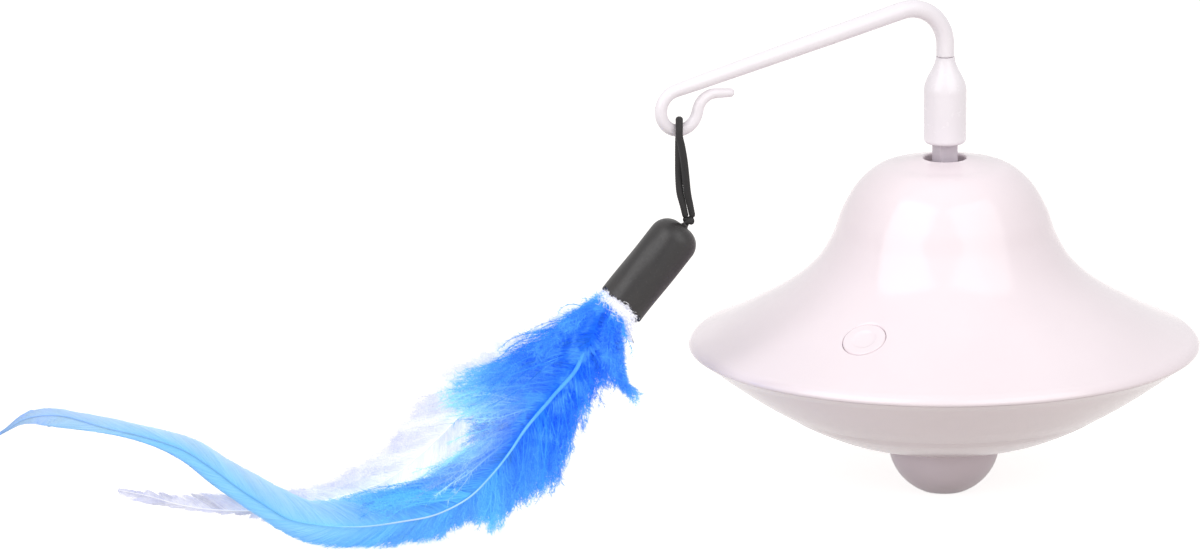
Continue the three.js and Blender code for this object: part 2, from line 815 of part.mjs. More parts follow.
function motorArmature() {
  const shaftBottom = endCapTop - MOTOR_CAP_LENGTH / 2 + GAP;
  const ironBottom = canBottom + MOTOR_LENGTH * ARMATURE_SPAN_SHARES[0];
  const ironTop = canBottom + MOTOR_LENGTH * ARMATURE_SPAN_SHARES[1];
  return revolved([
    [0, shaftBottom],
    [MOTOR_SHAFT_RADIUS, shaftBottom],
    [MOTOR_SHAFT_RADIUS, ironBottom],
    [ARMATURE_RADIUS, ironBottom],
    [ARMATURE_RADIUS, ironTop],
    [MOTOR_SHAFT_RADIUS, ironTop],
    [MOTOR_SHAFT_RADIUS, tier(0) + FACE_WIDTH],
    [0, tier(0) + FACE_WIDTH],
  ], SMALL_SEGMENTS);
}

// Gearbox plates
function gearboxFrame() {
  const plate = cylinder(PLATE_RADIUS, PLATE_HEIGHT, plateTop, SHELL_SEGMENTS);
  const arms = EAR_BEARINGS.map((bearing) =>
    box(2 * EAR_REACH, 2 * EAR_RADIUS, PLATE_HEIGHT, plateTop)
      .translate(EAR_REACH, 0, 0)
      .rotateZ(bearing),
  );
  const armLimit = cylinder(EAR_REACH, PLATE_HEIGHT, plateTop, SHELL_SEGMENTS);
  const ears = posts(earPlaces, EAR_RADIUS, PLATE_HEIGHT, plateTop);
  const columns = posts(columnPlaces, COLUMN_RADIUS, PLATE_HEIGHT, topPlateHeight - GAP);
  const solid = joined(plate, ...arms.map((arm) => within(arm, armLimit)), ...ears, ...columns);
  const [from, to] = [PLATE_HEIGHT - OVERRUN, plateTop + OVERRUN];
  return cutBy(
    solid,
    moved(cylinder(MOTOR_BOSS_RADIUS + GAP, from, to), ...motorPlace),
    cylinder(SHAFT_PIVOT_RADIUS + GAP, from, to),
    ...posts(idlerPlaces, PIN_RADIUS + GAP, from, to),
    ...screwHoles([...motorScrewPlaces, ...earPlaces], from, to),
    ...screwHoles(columnPlaces, topPlateHeight - SCREW_LENGTH, topPlateHeight + OVERRUN),
  );
}

function gearboxTopPlate() {
  const plate = cylinder(TOP_PLATE_RADIUS, topPlateHeight, topPlateTop, SHELL_SEGMENTS);
  const [from, to] = [topPlateHeight - OVERRUN, topPlateTop + OVERRUN];
  return cutBy(
    plate,
    cylinder(BUSH_RADIUS + GAP, from, to),
    ...posts(idlerPlaces, PIN_RADIUS + GAP, from, to),
    ...screwHoles(columnPlaces, from, to),
  );
}

function outputBush() {
  const bore = SHAFT_COLLAR_RADIUS + GAP;
  return revolved([
    [bore, topPlateHeight],
    [BUSH_RADIUS, topPlateHeight],
    [BUSH_RADIUS, topPlateTop + GAP],
    [BUSH_RADIUS + BUSH_FLANGE, topPlateTop + GAP],
    [BUSH_RADIUS + BUSH_FLANGE, topPlateTop + GAP + BUSH_FLANGE],
    [bore, topPlateTop + GAP + BUSH_FLANGE],
  ]);
}

// Housing
const bossBottom = plateTop + GAP;
const chassisScrewLength = PLATE_THICKNESS + BOSS_SCREW_DEPTH;
const switchPostPlaces = [-1, 1].map((side) => [0, side * SWITCH_POST_REACH]);
const boardTop = GAP - SWITCH_BOARD.depth;

function upperShell() {
  const inner = endedAt(offset(bell, -WALL), SEAM_HEIGHT);
  inner[0] = [TOP_HOLE_RADIUS, BODY_HEIGHT - WALL];
  const mouth = [TOP_HOLE_RADIUS, BODY_HEIGHT - HOLE_ROUND];
  const wall = revolved([mouth, ...bell, ...inner.reverse()], SHELL_SEGMENTS);
  const lipOuter = LIP_RADIUS + 2 * LIP_THICKNESS + GAP;
  const lipTop = heightOn(bell, lipOuter) - WALL / 4;
  const lip = ring(lipOuter - LIP_THICKNESS, lipOuter, SEAM_HEIGHT - LIP_DROP, lipTop, SHELL_SEGMENTS);
  const bosses = posts(earPlaces, BOSS_RADIUS, bossBottom, heightOn(bell, EAR_REACH));
  const switchPosts = posts(switchPostPlaces, POST_RADIUS, boardTop, -WALL / 2);
  const switchHoles = [
    cylinder(BUTTON_RADIUS + GAP, -WALL - OVERRUN, WALL + OVERRUN),
    ...screwHoles(switchPostPlaces, boardTop - OVERRUN, -WALL - GAP),
  ];
  return cutBy(
    joined(
      wall,
      lip,
      ...bosses.map((boss) => within(boss, bellFull)),
      ...switchPosts.map((post) => placedOn(buttonSeat, post)),
    ),
    ...switchHoles.map((hole) => placedOn(buttonSeat, hole)),
    ...screwHoles(earPlaces, PLATE_HEIGHT, bossBottom + BOSS_SCREW_DEPTH),
  );
}

function lowerShell() {
  const rise = WALL / Math.cos(slopeOn(dish, LEDGE_RADIUS + OVERRUN));
  const inner = endedAt(offset(dish, WALL), SEAM_HEIGHT - GAP);
  inner[0] = [LEDGE_RADIUS, LEDGE_HEIGHT + rise];
  const wall = revolved([...dish, ...inner.reverse()], SHELL_SEGMENTS);
  const lipFrom = heightOn(dish, LIP_RADIUS + LIP_THICKNESS) + WALL / 4;
  const lip = ring(LIP_RADIUS, LIP_RADIUS + LIP_THICKNESS, lipFrom, SEAM_HEIGHT + LIP_RISE, SHELL_SEGMENTS);
  const ribBottom = portTop - PORT_RIB.depth;
  const rib = box(PORT_RIB.width, PORT_RIB.thickness, ribBottom, -WALL / 2);
  const ribs = [-1, 1].map((side) => moved(rib, chargeBoardShift, side * portRibReach));
  const slotLength = CHARGE_BOARD.length + 2 * GAP;
  const slot = box(BOARD_THICKNESS + 2 * GAP, slotLength, ribBottom - OVERRUN, portTop);
  const [mouthHeight, mouthWidth] = [PORT_HEIGHT, PORT_WIDTH].map((side) => side + 2 * PORT_CLEARANCE);
  const mouth = box(mouthHeight, mouthWidth, -WALL - OVERRUN, OVERRUN);
  return cutBy(
    joined(wall, lip, ...ribs.map((piece) => placedOn(portSeat, piece))),
    placedOn(portSeat, moved(slot, chargeBoardShift, 0)),
    placedOn(portSeat, mouth),
  );
}

const weightScrewPlaces = WEIGHT_SCREW_BEARINGS.map((bearing) => at(bearing, WEIGHT_SCREW_REACH));
const trayEarReach = CELL.length / 2 + GAP + TRAY_WALL + TRAY_EAR_OUT;
const trayPostPlaces = [-1, 1].map((side) => [side * trayEarReach, -CELL.offset]);
const controlPostPlaces = [-1, 1].map((side) => [CONTROL_BOARD.offset, side * CONTROL_POST_REACH]);
const weightTop = WEIGHT_HEIGHT + WEIGHT_THICKNESS;
const trayBottom = weightTop + GAP;
const cellBottom = trayBottom + TRAY_WALL + GAP;
const coreRadius = FOOT_RADIUS - FOOT_WALL - GAP;

function bottomCover() {
  const rise = WALL / Math.cos(slopeOn(dish, LEDGE_RADIUS + OVERRUN));
  const inner = offset(cover, WALL).slice(1, -1);
  const wall = revolved(
    [
      [0, FOOT_WALL + GAP],
      [coreRadius, FOOT_WALL + GAP],
      [coreRadius, FOOT_HEIGHT + GAP],
      ...cover,
      [LEDGE_RADIUS - GAP, LEDGE_HEIGHT + rise],
      ...inner.reverse(),
      [coreRadius - WALL, FOOT_HEIGHT + GAP + WALL],
      [coreRadius - WALL, FOOT_WALL + GAP + WALL],
      [0, FOOT_WALL + GAP + WALL],
    ],
    SHELL_SEGMENTS,
  );
  const spigotTop = LEDGE_HEIGHT + SPIGOT_RISE;
  const spigotInner = SPIGOT_RADIUS - LIP_THICKNESS;
  const spigot = ring(spigotInner, SPIGOT_RADIUS, LEDGE_HEIGHT, spigotTop, SHELL_SEGMENTS);
  const floor = FOOT_HEIGHT + GAP + WALL / 2;
  const boardBottom = CONTROL_BOARD.height;
  const columns = [
    ...posts(weightScrewPlaces, BOSS_RADIUS, floor, WEIGHT_HEIGHT - GAP),
    ...posts(trayPostPlaces, POST_RADIUS, floor, weightTop),
    ...posts(controlPostPlaces, POST_RADIUS, floor, boardBottom - GAP),
  ];
  return cutBy(
    joined(wall, spigot, ...columns.map((column) => within(column, dishFull))),
    ...screwHoles(weightScrewPlaces, floor, weightTop),
    ...screwHoles(trayPostPlaces, weightTop - SCREW_LENGTH, trayBottom),
    ...screwHoles(controlPostPlaces, boardBottom - SCREW_LENGTH, boardBottom),
  );
}

function ballFoot() {
  const polar = FOOT_HEIGHT / Math.sqrt(1 - (FOOT_FLAT_RADIUS / FOOT_RADIUS) ** 2);
  const lowest = Math.acos(FOOT_FLAT_RADIUS / FOOT_RADIUS);
  const outer = Array.from({ length: FOOT_STEPS + 1 }, (_, step) => {
    const angle = (lowest * (FOOT_STEPS - step)) / FOOT_STEPS;
    return [FOOT_RADIUS * Math.cos(angle), FOOT_HEIGHT - polar * Math.sin(angle)];
  });
  outer[0][1] = 0;
  const bore = FOOT_RADIUS - FOOT_WALL;
  const inner = [
    [bore, FOOT_HEIGHT],
    [bore, FOOT_WALL],
    [0, FOOT_WALL],
  ];
  return revolved([[0, 0], ...outer, ...inner], SHELL_SEGMENTS);
}

function counterweight() {
  const disc = cylinder(WEIGHT_RADIUS, WEIGHT_HEIGHT, weightTop, SHELL_SEGMENTS);
  return cutBy(disc, ...screwHoles(weightScrewPlaces, WEIGHT_HEIGHT - OVERRUN, weightTop + OVERRUN));
}

// Battery and boards
function batteryTray() {
  const [length, width] = [CELL.length + 2 * GAP, CELL.width + 2 * GAP];
  const outside = box(length + 2 * TRAY_WALL, width + 2 * TRAY_WALL, trayBottom, cellBottom + TRAY_RIM);
  const inside = box(length, width, trayBottom + TRAY_WALL, cellBottom + TRAY_RIM + OVERRUN);
  const bar = box(2 * trayEarReach, 2 * TRAY_EAR_RADIUS, trayBottom, trayBottom + TRAY_WALL);
  const tray = joined(cutBy(outside, inside), bar).translate(0, -CELL.offset, 0);
  const ears = posts(trayPostPlaces, TRAY_EAR_RADIUS, trayBottom, trayBottom + TRAY_WALL);
  return cutBy(joined(tray, ...ears), ...screwHoles(trayPostPlaces, weightTop, cellBottom));
}

function batteryCell() {
  const shape = new THREE.Shape();
  const [halfWidth, halfThickness] = [CELL.width / 2, CELL.thickness / 2];
  shape.moveTo(-halfWidth + halfThickness, -halfThickness);
  shape.lineTo(halfWidth - halfThickness, -halfThickness);
  shape.absarc(halfWidth - halfThickness, 0, halfThickness, -Math.PI / 2, Math.PI / 2, false);
  shape.lineTo(-halfWidth + halfThickness, halfThickness);
  shape.absarc(-halfWidth + halfThickness, 0, halfThickness, Math.PI / 2, (3 * Math.PI) / 2, false);
  const settings = { depth: CELL.length, bevelEnabled: false, curveSegments: SMALL_SEGMENTS / 2 };
  return new THREE.ExtrudeGeometry(shape, settings)
    .rotateX(Math.PI / 2)
    .rotateZ(Math.PI / 2)
    .translate(-CELL.length / 2, -CELL.offset, cellBottom + halfThickness);
}

function controlBoard() {
  const { length, width, offset: shift, height } = CONTROL_BOARD;
  const board = moved(box(width, length, height, height + BOARD_THICKNESS), shift, 0);
  const top = height + BOARD_THICKNESS;
  const chips = CHIP_SHARES.map(([along, across, size]) => {
    const chip = box(size * width, size * width, top - BOARD_THICKNESS / 2, top + BOARD_THICKNESS);
    return moved(chip, shift + across * width, along * length);
  });
  return cutBy(joined(board, ...chips), ...screwHoles(controlPostPlaces, height - OVERRUN, top + OVERRUN));
}

// Button, switch and its board, in the button's frame
function powerButton() {
  const flangeTop = -WALL - BUTTON_SLACK;
  const flangeBottom = flangeTop - BUTTON_FLANGE_THICKNESS;
  const stemBottom = flangeBottom - BUTTON_STEM_LENGTH;
  const dished = BUTTON_PROUD - BUTTON_DISH_DEPTH;
  return revolved(
    [
      [0, stemBottom],
      [BUTTON_STEM_RADIUS, stemBottom],
      [BUTTON_STEM_RADIUS, flangeBottom],
      [BUTTON_FLANGE_RADIUS, flangeBottom],
      [BUTTON_FLANGE_RADIUS, flangeTop],
      [BUTTON_RADIUS, flangeTop],
      [BUTTON_RADIUS, dished],
      [BUTTON_RADIUS - BUTTON_DISH_DEPTH, BUTTON_PROUD],
      [BUTTON_DISH_RADIUS + BUTTON_DISH_DEPTH, BUTTON_PROUD],
      [BUTTON_DISH_RADIUS, dished],
      [0, dished],
    ],
  );
}

const stemEnd = -WALL - BUTTON_SLACK - BUTTON_FLANGE_THICKNESS - BUTTON_STEM_LENGTH;
const plungerTop = stemEnd - BUTTON_TRAVEL - GAP;
const switchTop = plungerTop - PLUNGER_HEIGHT;

function tactSwitch() {
  return joined(
    box(SWITCH_SIDE, SWITCH_SIDE, boardTop, switchTop),
    cylinder(PLUNGER_RADIUS, switchTop - PLUNGER_HEIGHT / 2, plungerTop, SMALL_SEGMENTS),
  );
}

function switchBoard() {
  const bottom = -SWITCH_BOARD.depth - BOARD_THICKNESS;
  const board = box(SWITCH_BOARD.width, SWITCH_BOARD.length, bottom, -SWITCH_BOARD.depth);
  return cutBy(board, ...screwHoles(switchPostPlaces, bottom - OVERRUN, boardTop));
}

// Charging socket and its board, in the port's frame
const portTop = -WALL - GAP;
const portBottom = portTop - PORT_DEPTH;
const chargeBoardShift = PORT_HEIGHT / 2 + GAP + BOARD_THICKNESS / 2;
const portRibReach = CHARGE_BOARD.length / 2 + GAP;

function chargingSocket() {
  const floor = portBottom + PORT_FLOOR;
  const hollow = box(PORT_HEIGHT - 2 * PORT_WALL, PORT_WIDTH - 2 * PORT_WALL, floor, portTop + OVERRUN);
  const { thickness, width, length } = PORT_TONGUE;
  const tongue = box(thickness, width, floor - PORT_FLOOR / 2, floor + length);
  return joined(cutBy(box(PORT_HEIGHT, PORT_WIDTH, portBottom, portTop), hollow), tongue);
}

function chargeBoard() {
  const bottom = portTop - GAP - CHARGE_BOARD.width;
  return moved(box(BOARD_THICKNESS, CHARGE_BOARD.length, bottom, portTop - GAP), chargeBoardShift, 0);
}

// Wand, in its own frame: +X out along the arm
function armSocket() {
  const span = COLLAR_TOP - COLLAR_SHOULDER;
  const fillet = Array.from({ length: FILLET_STEPS + 1 }, (_, step) => {
    const angle = (Math.PI / 2) * (step / FILLET_STEPS);
    return [
      COLLAR_RADIUS - COLLAR_FILLET + COLLAR_FILLET * Math.sin(angle),
      COLLAR_BOTTOM + COLLAR_FILLET - COLLAR_FILLET * Math.cos(angle),
    ];
  });
  const neck = NECK_SHARES.map(([radius, height]) => [
    THREE.MathUtils.lerp(COLLAR_NECK_RADIUS, COLLAR_RADIUS, radius),
    COLLAR_SHOULDER + height * span,
  ]);
  const outside = revolved([[0, COLLAR_BOTTOM], ...fillet, ...neck, [0, COLLAR_TOP]]);
  const side = SHAFT_SIDE + 2 * GAP;
  const boreBottom = COLLAR_TOP - ROD_SPIGOT_LENGTH - GAP;
  return cutBy(
    outside,
    box(side, side, COLLAR_BOTTOM - OVERRUN, SHAFT_TOP + GAP),
    cylinder(ROD_SPIGOT_RADIUS + GAP, boreBottom, COLLAR_TOP + OVERRUN, SMALL_SEGMENTS),
  );
}

function rodPath() {
  const [sine, cosine] = [Math.sin(ARM_SLOPE), Math.cos(ARM_SLOPE)];
  const bendX = ARM_BEND_RADIUS * (1 + sine);
  const bendZ = ARM_BEND_HEIGHT + ARM_BEND_RADIUS * cosine;
  const hookX = HOOK_REACH + HOOK_RADIUS * sine;
  const hookZ = bendZ - Math.tan(ARM_SLOPE) * (hookX - bendX);
  const centreZ = hookZ - HOOK_RADIUS * cosine;
  const curlX = HOOK_REACH + (HOOK_RADIUS + CURL_RADIUS) * Math.cos(HOOK_END);
  const curlZ = centreZ + (HOOK_RADIUS + CURL_RADIUS) * Math.sin(HOOK_END);
  const path = new THREE.Path();
  path.moveTo(0, COLLAR_TOP + GAP);
  path.lineTo(0, ARM_BEND_HEIGHT);
  path.absarc(ARM_BEND_RADIUS, ARM_BEND_HEIGHT, ARM_BEND_RADIUS, Math.PI, Math.PI / 2 - ARM_SLOPE, true);
  path.lineTo(hookX, hookZ);
  path.absarc(HOOK_REACH, centreZ, HOOK_RADIUS, Math.PI / 2 - ARM_SLOPE, HOOK_END, true);
  path.absarc(curlX, curlZ, CURL_RADIUS, HOOK_END + Math.PI, CURL_END, false);
  const tailX = curlX + CURL_RADIUS * Math.cos(CURL_END);
  const tailZ = curlZ + CURL_RADIUS * Math.sin(CURL_END);
  path.lineTo(tailX - CURL_TAIL * Math.sin(CURL_END), tailZ + CURL_TAIL * Math.cos(CURL_END));
  return path;
}

function radiusFrom(table, share) {
  const step = Math.max(table.findIndex((entry) => entry[0] >= share), 1);
  const [near, far] = [table[step - 1], table[step]];
  return THREE.MathUtils.mapLinear(share, near[0], far[0], near[1], far[1]);
}

function armRod() {
  const path = rodPath();
  const points = path.getSpacedPoints(ROD_STEPS).map(({ x, y }) => new THREE.Vector3(x, 0, y));
  const rod = tube(
    points,
    (share) => ROD_BASE_RADIUS * radiusFrom(ROD_TAPER_SHARES, share),
    ROD_SIDES,
    new THREE.Vector3(0, 1, 0),
  );
  const from = COLLAR_TOP - ROD_SPIGOT_LENGTH;
  return joined(rod, cylinder(ROD_SPIGOT_RADIUS, from, COLLAR_TOP + ROD_BASE_RADIUS, SMALL_SEGMENTS));
}

function lureCord() {
  return cordAlong(CORD_POINTS, CORD_DIAMETER / 2, CORD_SIDES, CORD_STEPS);
}

function lureKnot() {
  return new THREE.IcosahedronGeometry(KNOT_RADIUS, 1);
}

// Lure, hung from the knot: the cap lies along its own axis, with the crown up
const crownDrop = KNOT_RADIUS + GAP;

function lureCap() {
  const dome = Array.from({ length: FILLET_STEPS + 1 }, (_, step) => {
    const angle = (Math.PI / 2) * (step / FILLET_STEPS);
    return [
      CAP_RADIUS - CAP_DOME_RADIUS + CAP_DOME_RADIUS * Math.cos(angle),
      CAP_DOME_RADIUS * (Math.sin(angle) - 1),
    ];
  });
  return revolved(
    [
      [0, CAP_BORE_DEPTH - CAP_LENGTH],
      [CAP_BORE_RADIUS, CAP_BORE_DEPTH - CAP_LENGTH],
      [CAP_BORE_RADIUS, -CAP_LENGTH],
      [CAP_RADIUS, -CAP_LENGTH],
      ...dome,
      [0, 0],
    ],
  );
}

function featherBinding() {
  const radius = CAP_BORE_RADIUS - GAP;
  return cylinder(radius, -CAP_LENGTH - BINDING_PROUD, -CAP_LENGTH - BINDING_PROUD + BINDING_LENGTH);
}

// A feather's blade: a lens-shaped section along its rachis, with its own widths above and below
function featherBlade(feather) {
  const { steps, thickness, width, place, spread } = feather;
  const curve = new THREE.CatmullRomCurve3(
    feather.rachisShares.map(([along, up], step) => {
      const share = Math.min(step / SPREAD_STEPS, 1);
      return new THREE.Vector3(
        along * FEATHER_SPAN,
        THREE.MathUtils.lerp(place, spread, share),
        up * KNOT_HEIGHT,
      );
    }),
  );
  const points = curve.getSpacedPoints(steps);
  const rings = points.map((point, step) => {
    const share = step / steps;
    const before = points[Math.max(step - 1, 0)];
    const after = points[Math.min(step + 1, steps)];
    const along = new THREE.Vector3(after.x - before.x, 0, after.z - before.z).normalize();
    const up = new THREE.Vector3(-along.z, 0, along.x);
    const upper = width * shareAt(feather.upperShares, share);
    const lower = width * shareAt(feather.lowerShares, share);
    const half = (thickness * shareAt(feather.thicknessShares, share)) / 2;
    return BLADE_SHARES.map(([side, deep]) => {
      const reach = side > 0 ? side * upper : side * lower;
      return point.clone().addScaledVector(up, reach).add(new THREE.Vector3(0, deep * half, 0));
    });
  });
  return lofted(rings);
}

// Assembly
const part = new THREE.Group();

function add(name, geometry, finish, parent = part) {
  const material = new THREE.MeshStandardMaterial(FINISHES[finish]);
  const mesh = new THREE.Mesh(geometry, material);
  mesh.name = name;
  parent.add(mesh);
  return mesh;
}

function addScrews(name, places, height, length, pointsDown, parent = part) {
  places.forEach((place, index) => {
    const mesh = add(`${name}_${index + 1}`, screwShape(length), "steel", parent);
    mesh.position.set(...place, height);
    mesh.rotation.x = pointsDown ? Math.PI : 0;
  });
}

part.add(buttonSeat.parent, portSeat.parent);
add("upper_shell", upperShell(), "gloss");
add("lower_shell", lowerShell(), "gloss");
add("bottom_cover", bottomCover(), "gloss");
add("ball_foot", ballFoot(), "foot");
add("counterweight", counterweight(), "steel");
addScrews("weight_screw", weightScrewPlaces, weightTop + GAP, WEIGHT_SCREW_LENGTH, true);

add("gearbox_frame", gearboxFrame(), "inner");
add("gearbox_top_plate", gearboxTopPlate(), "inner");
addScrews("gearbox_screw", columnPlaces, topPlateTop + GAP, SCREW_LENGTH, true);
addScrews("chassis_screw", earPlaces, PLATE_HEIGHT - GAP, chassisScrewLength, false);
add("output_bush", outputBush(), "brass");
idlerPlaces.forEach((place, index) => {
  const pin = cylinder(PIN_RADIUS, PLATE_HEIGHT + GAP, topPlateTop - GAP, SMALL_SEGMENTS);
  const gear = compoundGear(index, [idler1Bearing, idler2Bearing][index]);
  add(`gear_pin_${index + 1}`, pin, "steel").position.set(...place, 0);
  add(`compound_gear_${index + 1}`, gear, "inner").position.set(...place, 0);
});
add("output_gear", outputGear(), "inner");
add("drive_shaft", driveShaft(), "shaft");

const motor = new THREE.Group();
motor.position.set(...motorPlace, 0);
part.add(motor);
add("motor_can", motorCan(), "steel", motor);
add("motor_end_cap", motorEndCap(), "inner", motor);
add("motor_armature", motorArmature(), "steel", motor);
add("motor_pinion", motorPinion(), "brass", motor);
addScrews("motor_screw", motorScrewPlaces, plateTop + GAP, PLATE_THICKNESS + MOTOR_WALL + GAP, true);

add("battery_tray", batteryTray(), "inner");
add("battery_cell", batteryCell(), "cell");
addScrews("tray_screw", trayPostPlaces, trayBottom + TRAY_WALL + GAP, SCREW_LENGTH, true);
add("control_board", controlBoard(), "board");
const boardScrewHeight = CONTROL_BOARD.height + BOARD_THICKNESS + GAP;
addScrews("board_screw", controlPostPlaces, boardScrewHeight, SCREW_LENGTH, true);

add("power_button", powerButton(), "gloss", buttonSeat);
add("tact_switch", tactSwitch(), "black", buttonSeat);
add("button_board", switchBoard(), "board", buttonSeat);
const switchScrewHeight = -SWITCH_BOARD.depth - BOARD_THICKNESS - GAP;
addScrews("switch_screw", switchPostPlaces, switchScrewHeight, SCREW_LENGTH, false, buttonSeat);
add("charging_socket", chargingSocket(), "steel", portSeat);
add("charge_board", chargeBoard(), "board", portSeat);

const leadStand = LEAD_RADIUS + LEAD_CLEARANCE;
const switchTerminal = new THREE.Vector3(0, SWITCH_TERMINAL.along, -SWITCH_TERMINAL.depth);
const { across, along, depth } = CHARGE_TERMINAL;
const leadStarts = {
  battery_lead: [
    CELL.length / 2 + leadStand,
    -CELL.offset - CELL_TERMINAL_ASIDE,
    cellBottom + CELL.thickness / 2 + LEAD_RADIUS,
  ],
  motor_lead: [motorPlace[0] + MOTOR_FLAT / 2 + leadStand, motorPlace[1], endCapTop - MOTOR_TERMINAL_DROP],
  switch_lead: buttonSeat.localToWorld(switchTerminal).toArray(),
  charge_lead: portSeat.localToWorld(new THREE.Vector3(across, along, -depth)).toArray(),
};
Object.entries(LEAD_ROUTES).forEach(([name, route]) => {
  add(name, cordAlong([leadStarts[name], ...route], LEAD_RADIUS, LEAD_SIDES, LEAD_STEPS), "lead");
});

const wand = new THREE.Group();
wand.rotation.z = ARM_TURN;
part.add(wand);
add("arm_socket", armSocket(), "gloss", wand);
add("arm_rod", armRod(), "gloss", wand);
add("lure_cord", lureCord(), "cord", wand);
add("lure_knot", lureKnot(), "cord", wand).position.set(KNOT_REACH, 0, KNOT_HEIGHT);

const lure = new THREE.Group();
lure.position.set(KNOT_REACH, 0, 0);
lure.rotation.z = LURE_TURN;
wand.add(lure);
const cap = new THREE.Group();
cap.position.set(crownDrop * Math.sin(CAP_TILT), 0, KNOT_HEIGHT - crownDrop * Math.cos(CAP_TILT));
cap.rotation.y = -CAP_TILT;
lure.add(cap);
add("lure_cap", lureCap(), "black", cap);
add("feather_binding", featherBinding(), "white", cap);
add("blue_feather", featherBlade(BLUE_FEATHER), "blue", lure);
add("white_feather", featherBlade(WHITE_FEATHER), "white", lure);
add("short_feather", featherBlade(SHORT_FEATHER), "blue", lure);

export default part;
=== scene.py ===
import json
import math

import bmesh
import bpy
import numpy as np
from mathutils import Matrix, Vector


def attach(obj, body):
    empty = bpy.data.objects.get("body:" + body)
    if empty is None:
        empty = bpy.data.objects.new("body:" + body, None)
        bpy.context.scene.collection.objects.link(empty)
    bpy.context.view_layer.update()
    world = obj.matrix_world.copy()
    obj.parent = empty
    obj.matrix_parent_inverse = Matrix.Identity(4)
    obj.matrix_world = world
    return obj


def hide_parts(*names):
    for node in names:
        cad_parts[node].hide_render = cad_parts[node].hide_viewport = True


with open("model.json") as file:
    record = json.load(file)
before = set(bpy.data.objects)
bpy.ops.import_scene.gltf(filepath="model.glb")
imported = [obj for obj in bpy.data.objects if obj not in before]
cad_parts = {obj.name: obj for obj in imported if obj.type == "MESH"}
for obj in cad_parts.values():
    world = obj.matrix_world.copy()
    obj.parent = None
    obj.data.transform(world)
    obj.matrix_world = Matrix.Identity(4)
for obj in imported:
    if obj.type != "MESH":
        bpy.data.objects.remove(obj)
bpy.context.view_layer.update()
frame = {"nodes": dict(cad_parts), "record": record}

# Shapes below are in millimetres, and meshes are made in metres.
MM = 0.001
random = np.random.default_rng(11)


def new_object(name, data):
    made = bpy.data.objects.new(name, data)
    bpy.context.scene.collection.objects.link(made)
    return made


def stand_off(made, target, away, distance):
    """Puts a camera or a lamp at a distance from its target and turns it to look back."""
    made.location = target + distance * away
    made.rotation_euler = (-away).to_track_quat("-Z", "Y").to_euler()


# Camera: it looks along +Y from a little above. Views of the whole object are blank if DISTANCE is over 6.5,
# because a longer lens puts them beyond their own clipping distance.
ELEVATION = math.radians(13.6)
AIM = Vector((-0.08511, 0.0, 0.05414))
DISTANCE = 6.0
VIEW_WIDTH = 0.29647
SENSOR = 36.0


def make_camera():
    data = bpy.data.cameras.new("camera")
    data.sensor_fit = "HORIZONTAL"
    data.sensor_width = SENSOR
    data.lens = SENSOR * DISTANCE / VIEW_WIDTH
    camera = new_object("camera", data)
    stand_off(camera, AIM, Vector((0, -math.cos(ELEVATION), math.sin(ELEVATION))), DISTANCE)
    bpy.context.scene.camera = camera


make_camera()


# Curves
def unit(vectors):
    return vectors / np.linalg.norm(vectors, axis=-1, keepdims=True)


def circle(count):
    return 2 * math.pi * np.arange(count) / count


def sampled(at, places, rows):
    """Rows known at some places, at the places given."""
    return np.stack([np.interp(at, places, column) for column in rows.T], axis=-1)


def table(rows, at):
    """Values of a table of (place, value) at the places given. A plain number is the same everywhere."""
    if isinstance(rows, (int, float)):
        rows = [(0, rows)]
    found = sampled(at, [row[0] for row in rows], np.array([np.ravel(row[1]) for row in rows]))
    return found[..., 0] if found.shape[-1] == 1 else found


def blurred(values, reach):
    """The running mean of each value and its neighbours within reach."""
    count = 2 * reach + 1
    return np.convolve(np.pad(values, reach, "edge"), np.ones(count) / count, "valid")


def smooth(points, count):
    """A centripetal spline through points, as count points an equal length apart."""
    knots = np.asarray(points, float)
    ghost = np.vstack([2 * knots[0] - knots[1], knots, 2 * knots[-1] - knots[-2]])
    share = np.linspace(0, 1, 25)[:-1, None]
    runs = []
    for a, b, c, d in zip(ghost, ghost[1:], ghost[2:], ghost[3:]):
        ta, tb, tc = (max(np.linalg.norm(v - u) ** 0.5, 1e-6) for u, v in ((a, b), (b, c), (c, d)))
        leave = ((b - a) / ta - (c - a) / (ta + tb) + (c - b) / tb) * tb
        arrive = ((c - b) / tb - (d - b) / (tb + tc) + (d - c) / tc) * tb
        cubic = 2 * b - 2 * c + leave + arrive
        square = -3 * b + 3 * c - 2 * leave - arrive
        runs.append(b + share * (leave + share * (square + share * cubic)))
    return spaced(np.vstack(runs + [knots[-1:]]), count)


def lengths_of(points):
    steps = np.linalg.norm(np.diff(points, axis=0), axis=1)
    return np.concatenate([[0], np.cumsum(steps)])


def spaced(points, count):
    """A polyline's points moved to count equal steps along it."""
    along = lengths_of(points)
    return sampled(np.linspace(0, along[-1], count), along, points)


def tangents(points):
    return unit(np.gradient(points, axis=0))


def rounded(corners, closed=False, steps=6):
    """A flat outline through corners of (x, y, radius), each rounded by its radius."""
    outline = []
    for i, (x, y, radius) in enumerate(corners):
        corner = np.array([x, y], float)
        if radius == 0 or (not closed and i in (0, len(corners) - 1)):
            outline.append(corner)
            continue
        before = np.array(corners[i - 1][:2], float) - corner
        after = np.array(corners[(i + 1) % len(corners)][:2], float) - corner
        before /= np.linalg.norm(before)
        after /= np.linalg.norm(after)
        half = math.acos(np.clip(before @ after, -1, 1)) / 2
        middle = (before + after) / np.linalg.norm(before + after)
        centre = corner + middle * radius / math.sin(half)
        start = corner + before * radius / math.tan(half) - centre
        end = corner + after * radius / math.tan(half) - centre
        first = math.atan2(start[1], start[0])
        sweep_angle = (math.atan2(end[1], end[0]) - first + math.pi) % (2 * math.pi) - math.pi
        for angle in first + sweep_angle * np.linspace(0, 1, steps + 1):
            outline.append(centre + radius * np.array([math.cos(angle), math.sin(angle)]))
    return np.array(outline)


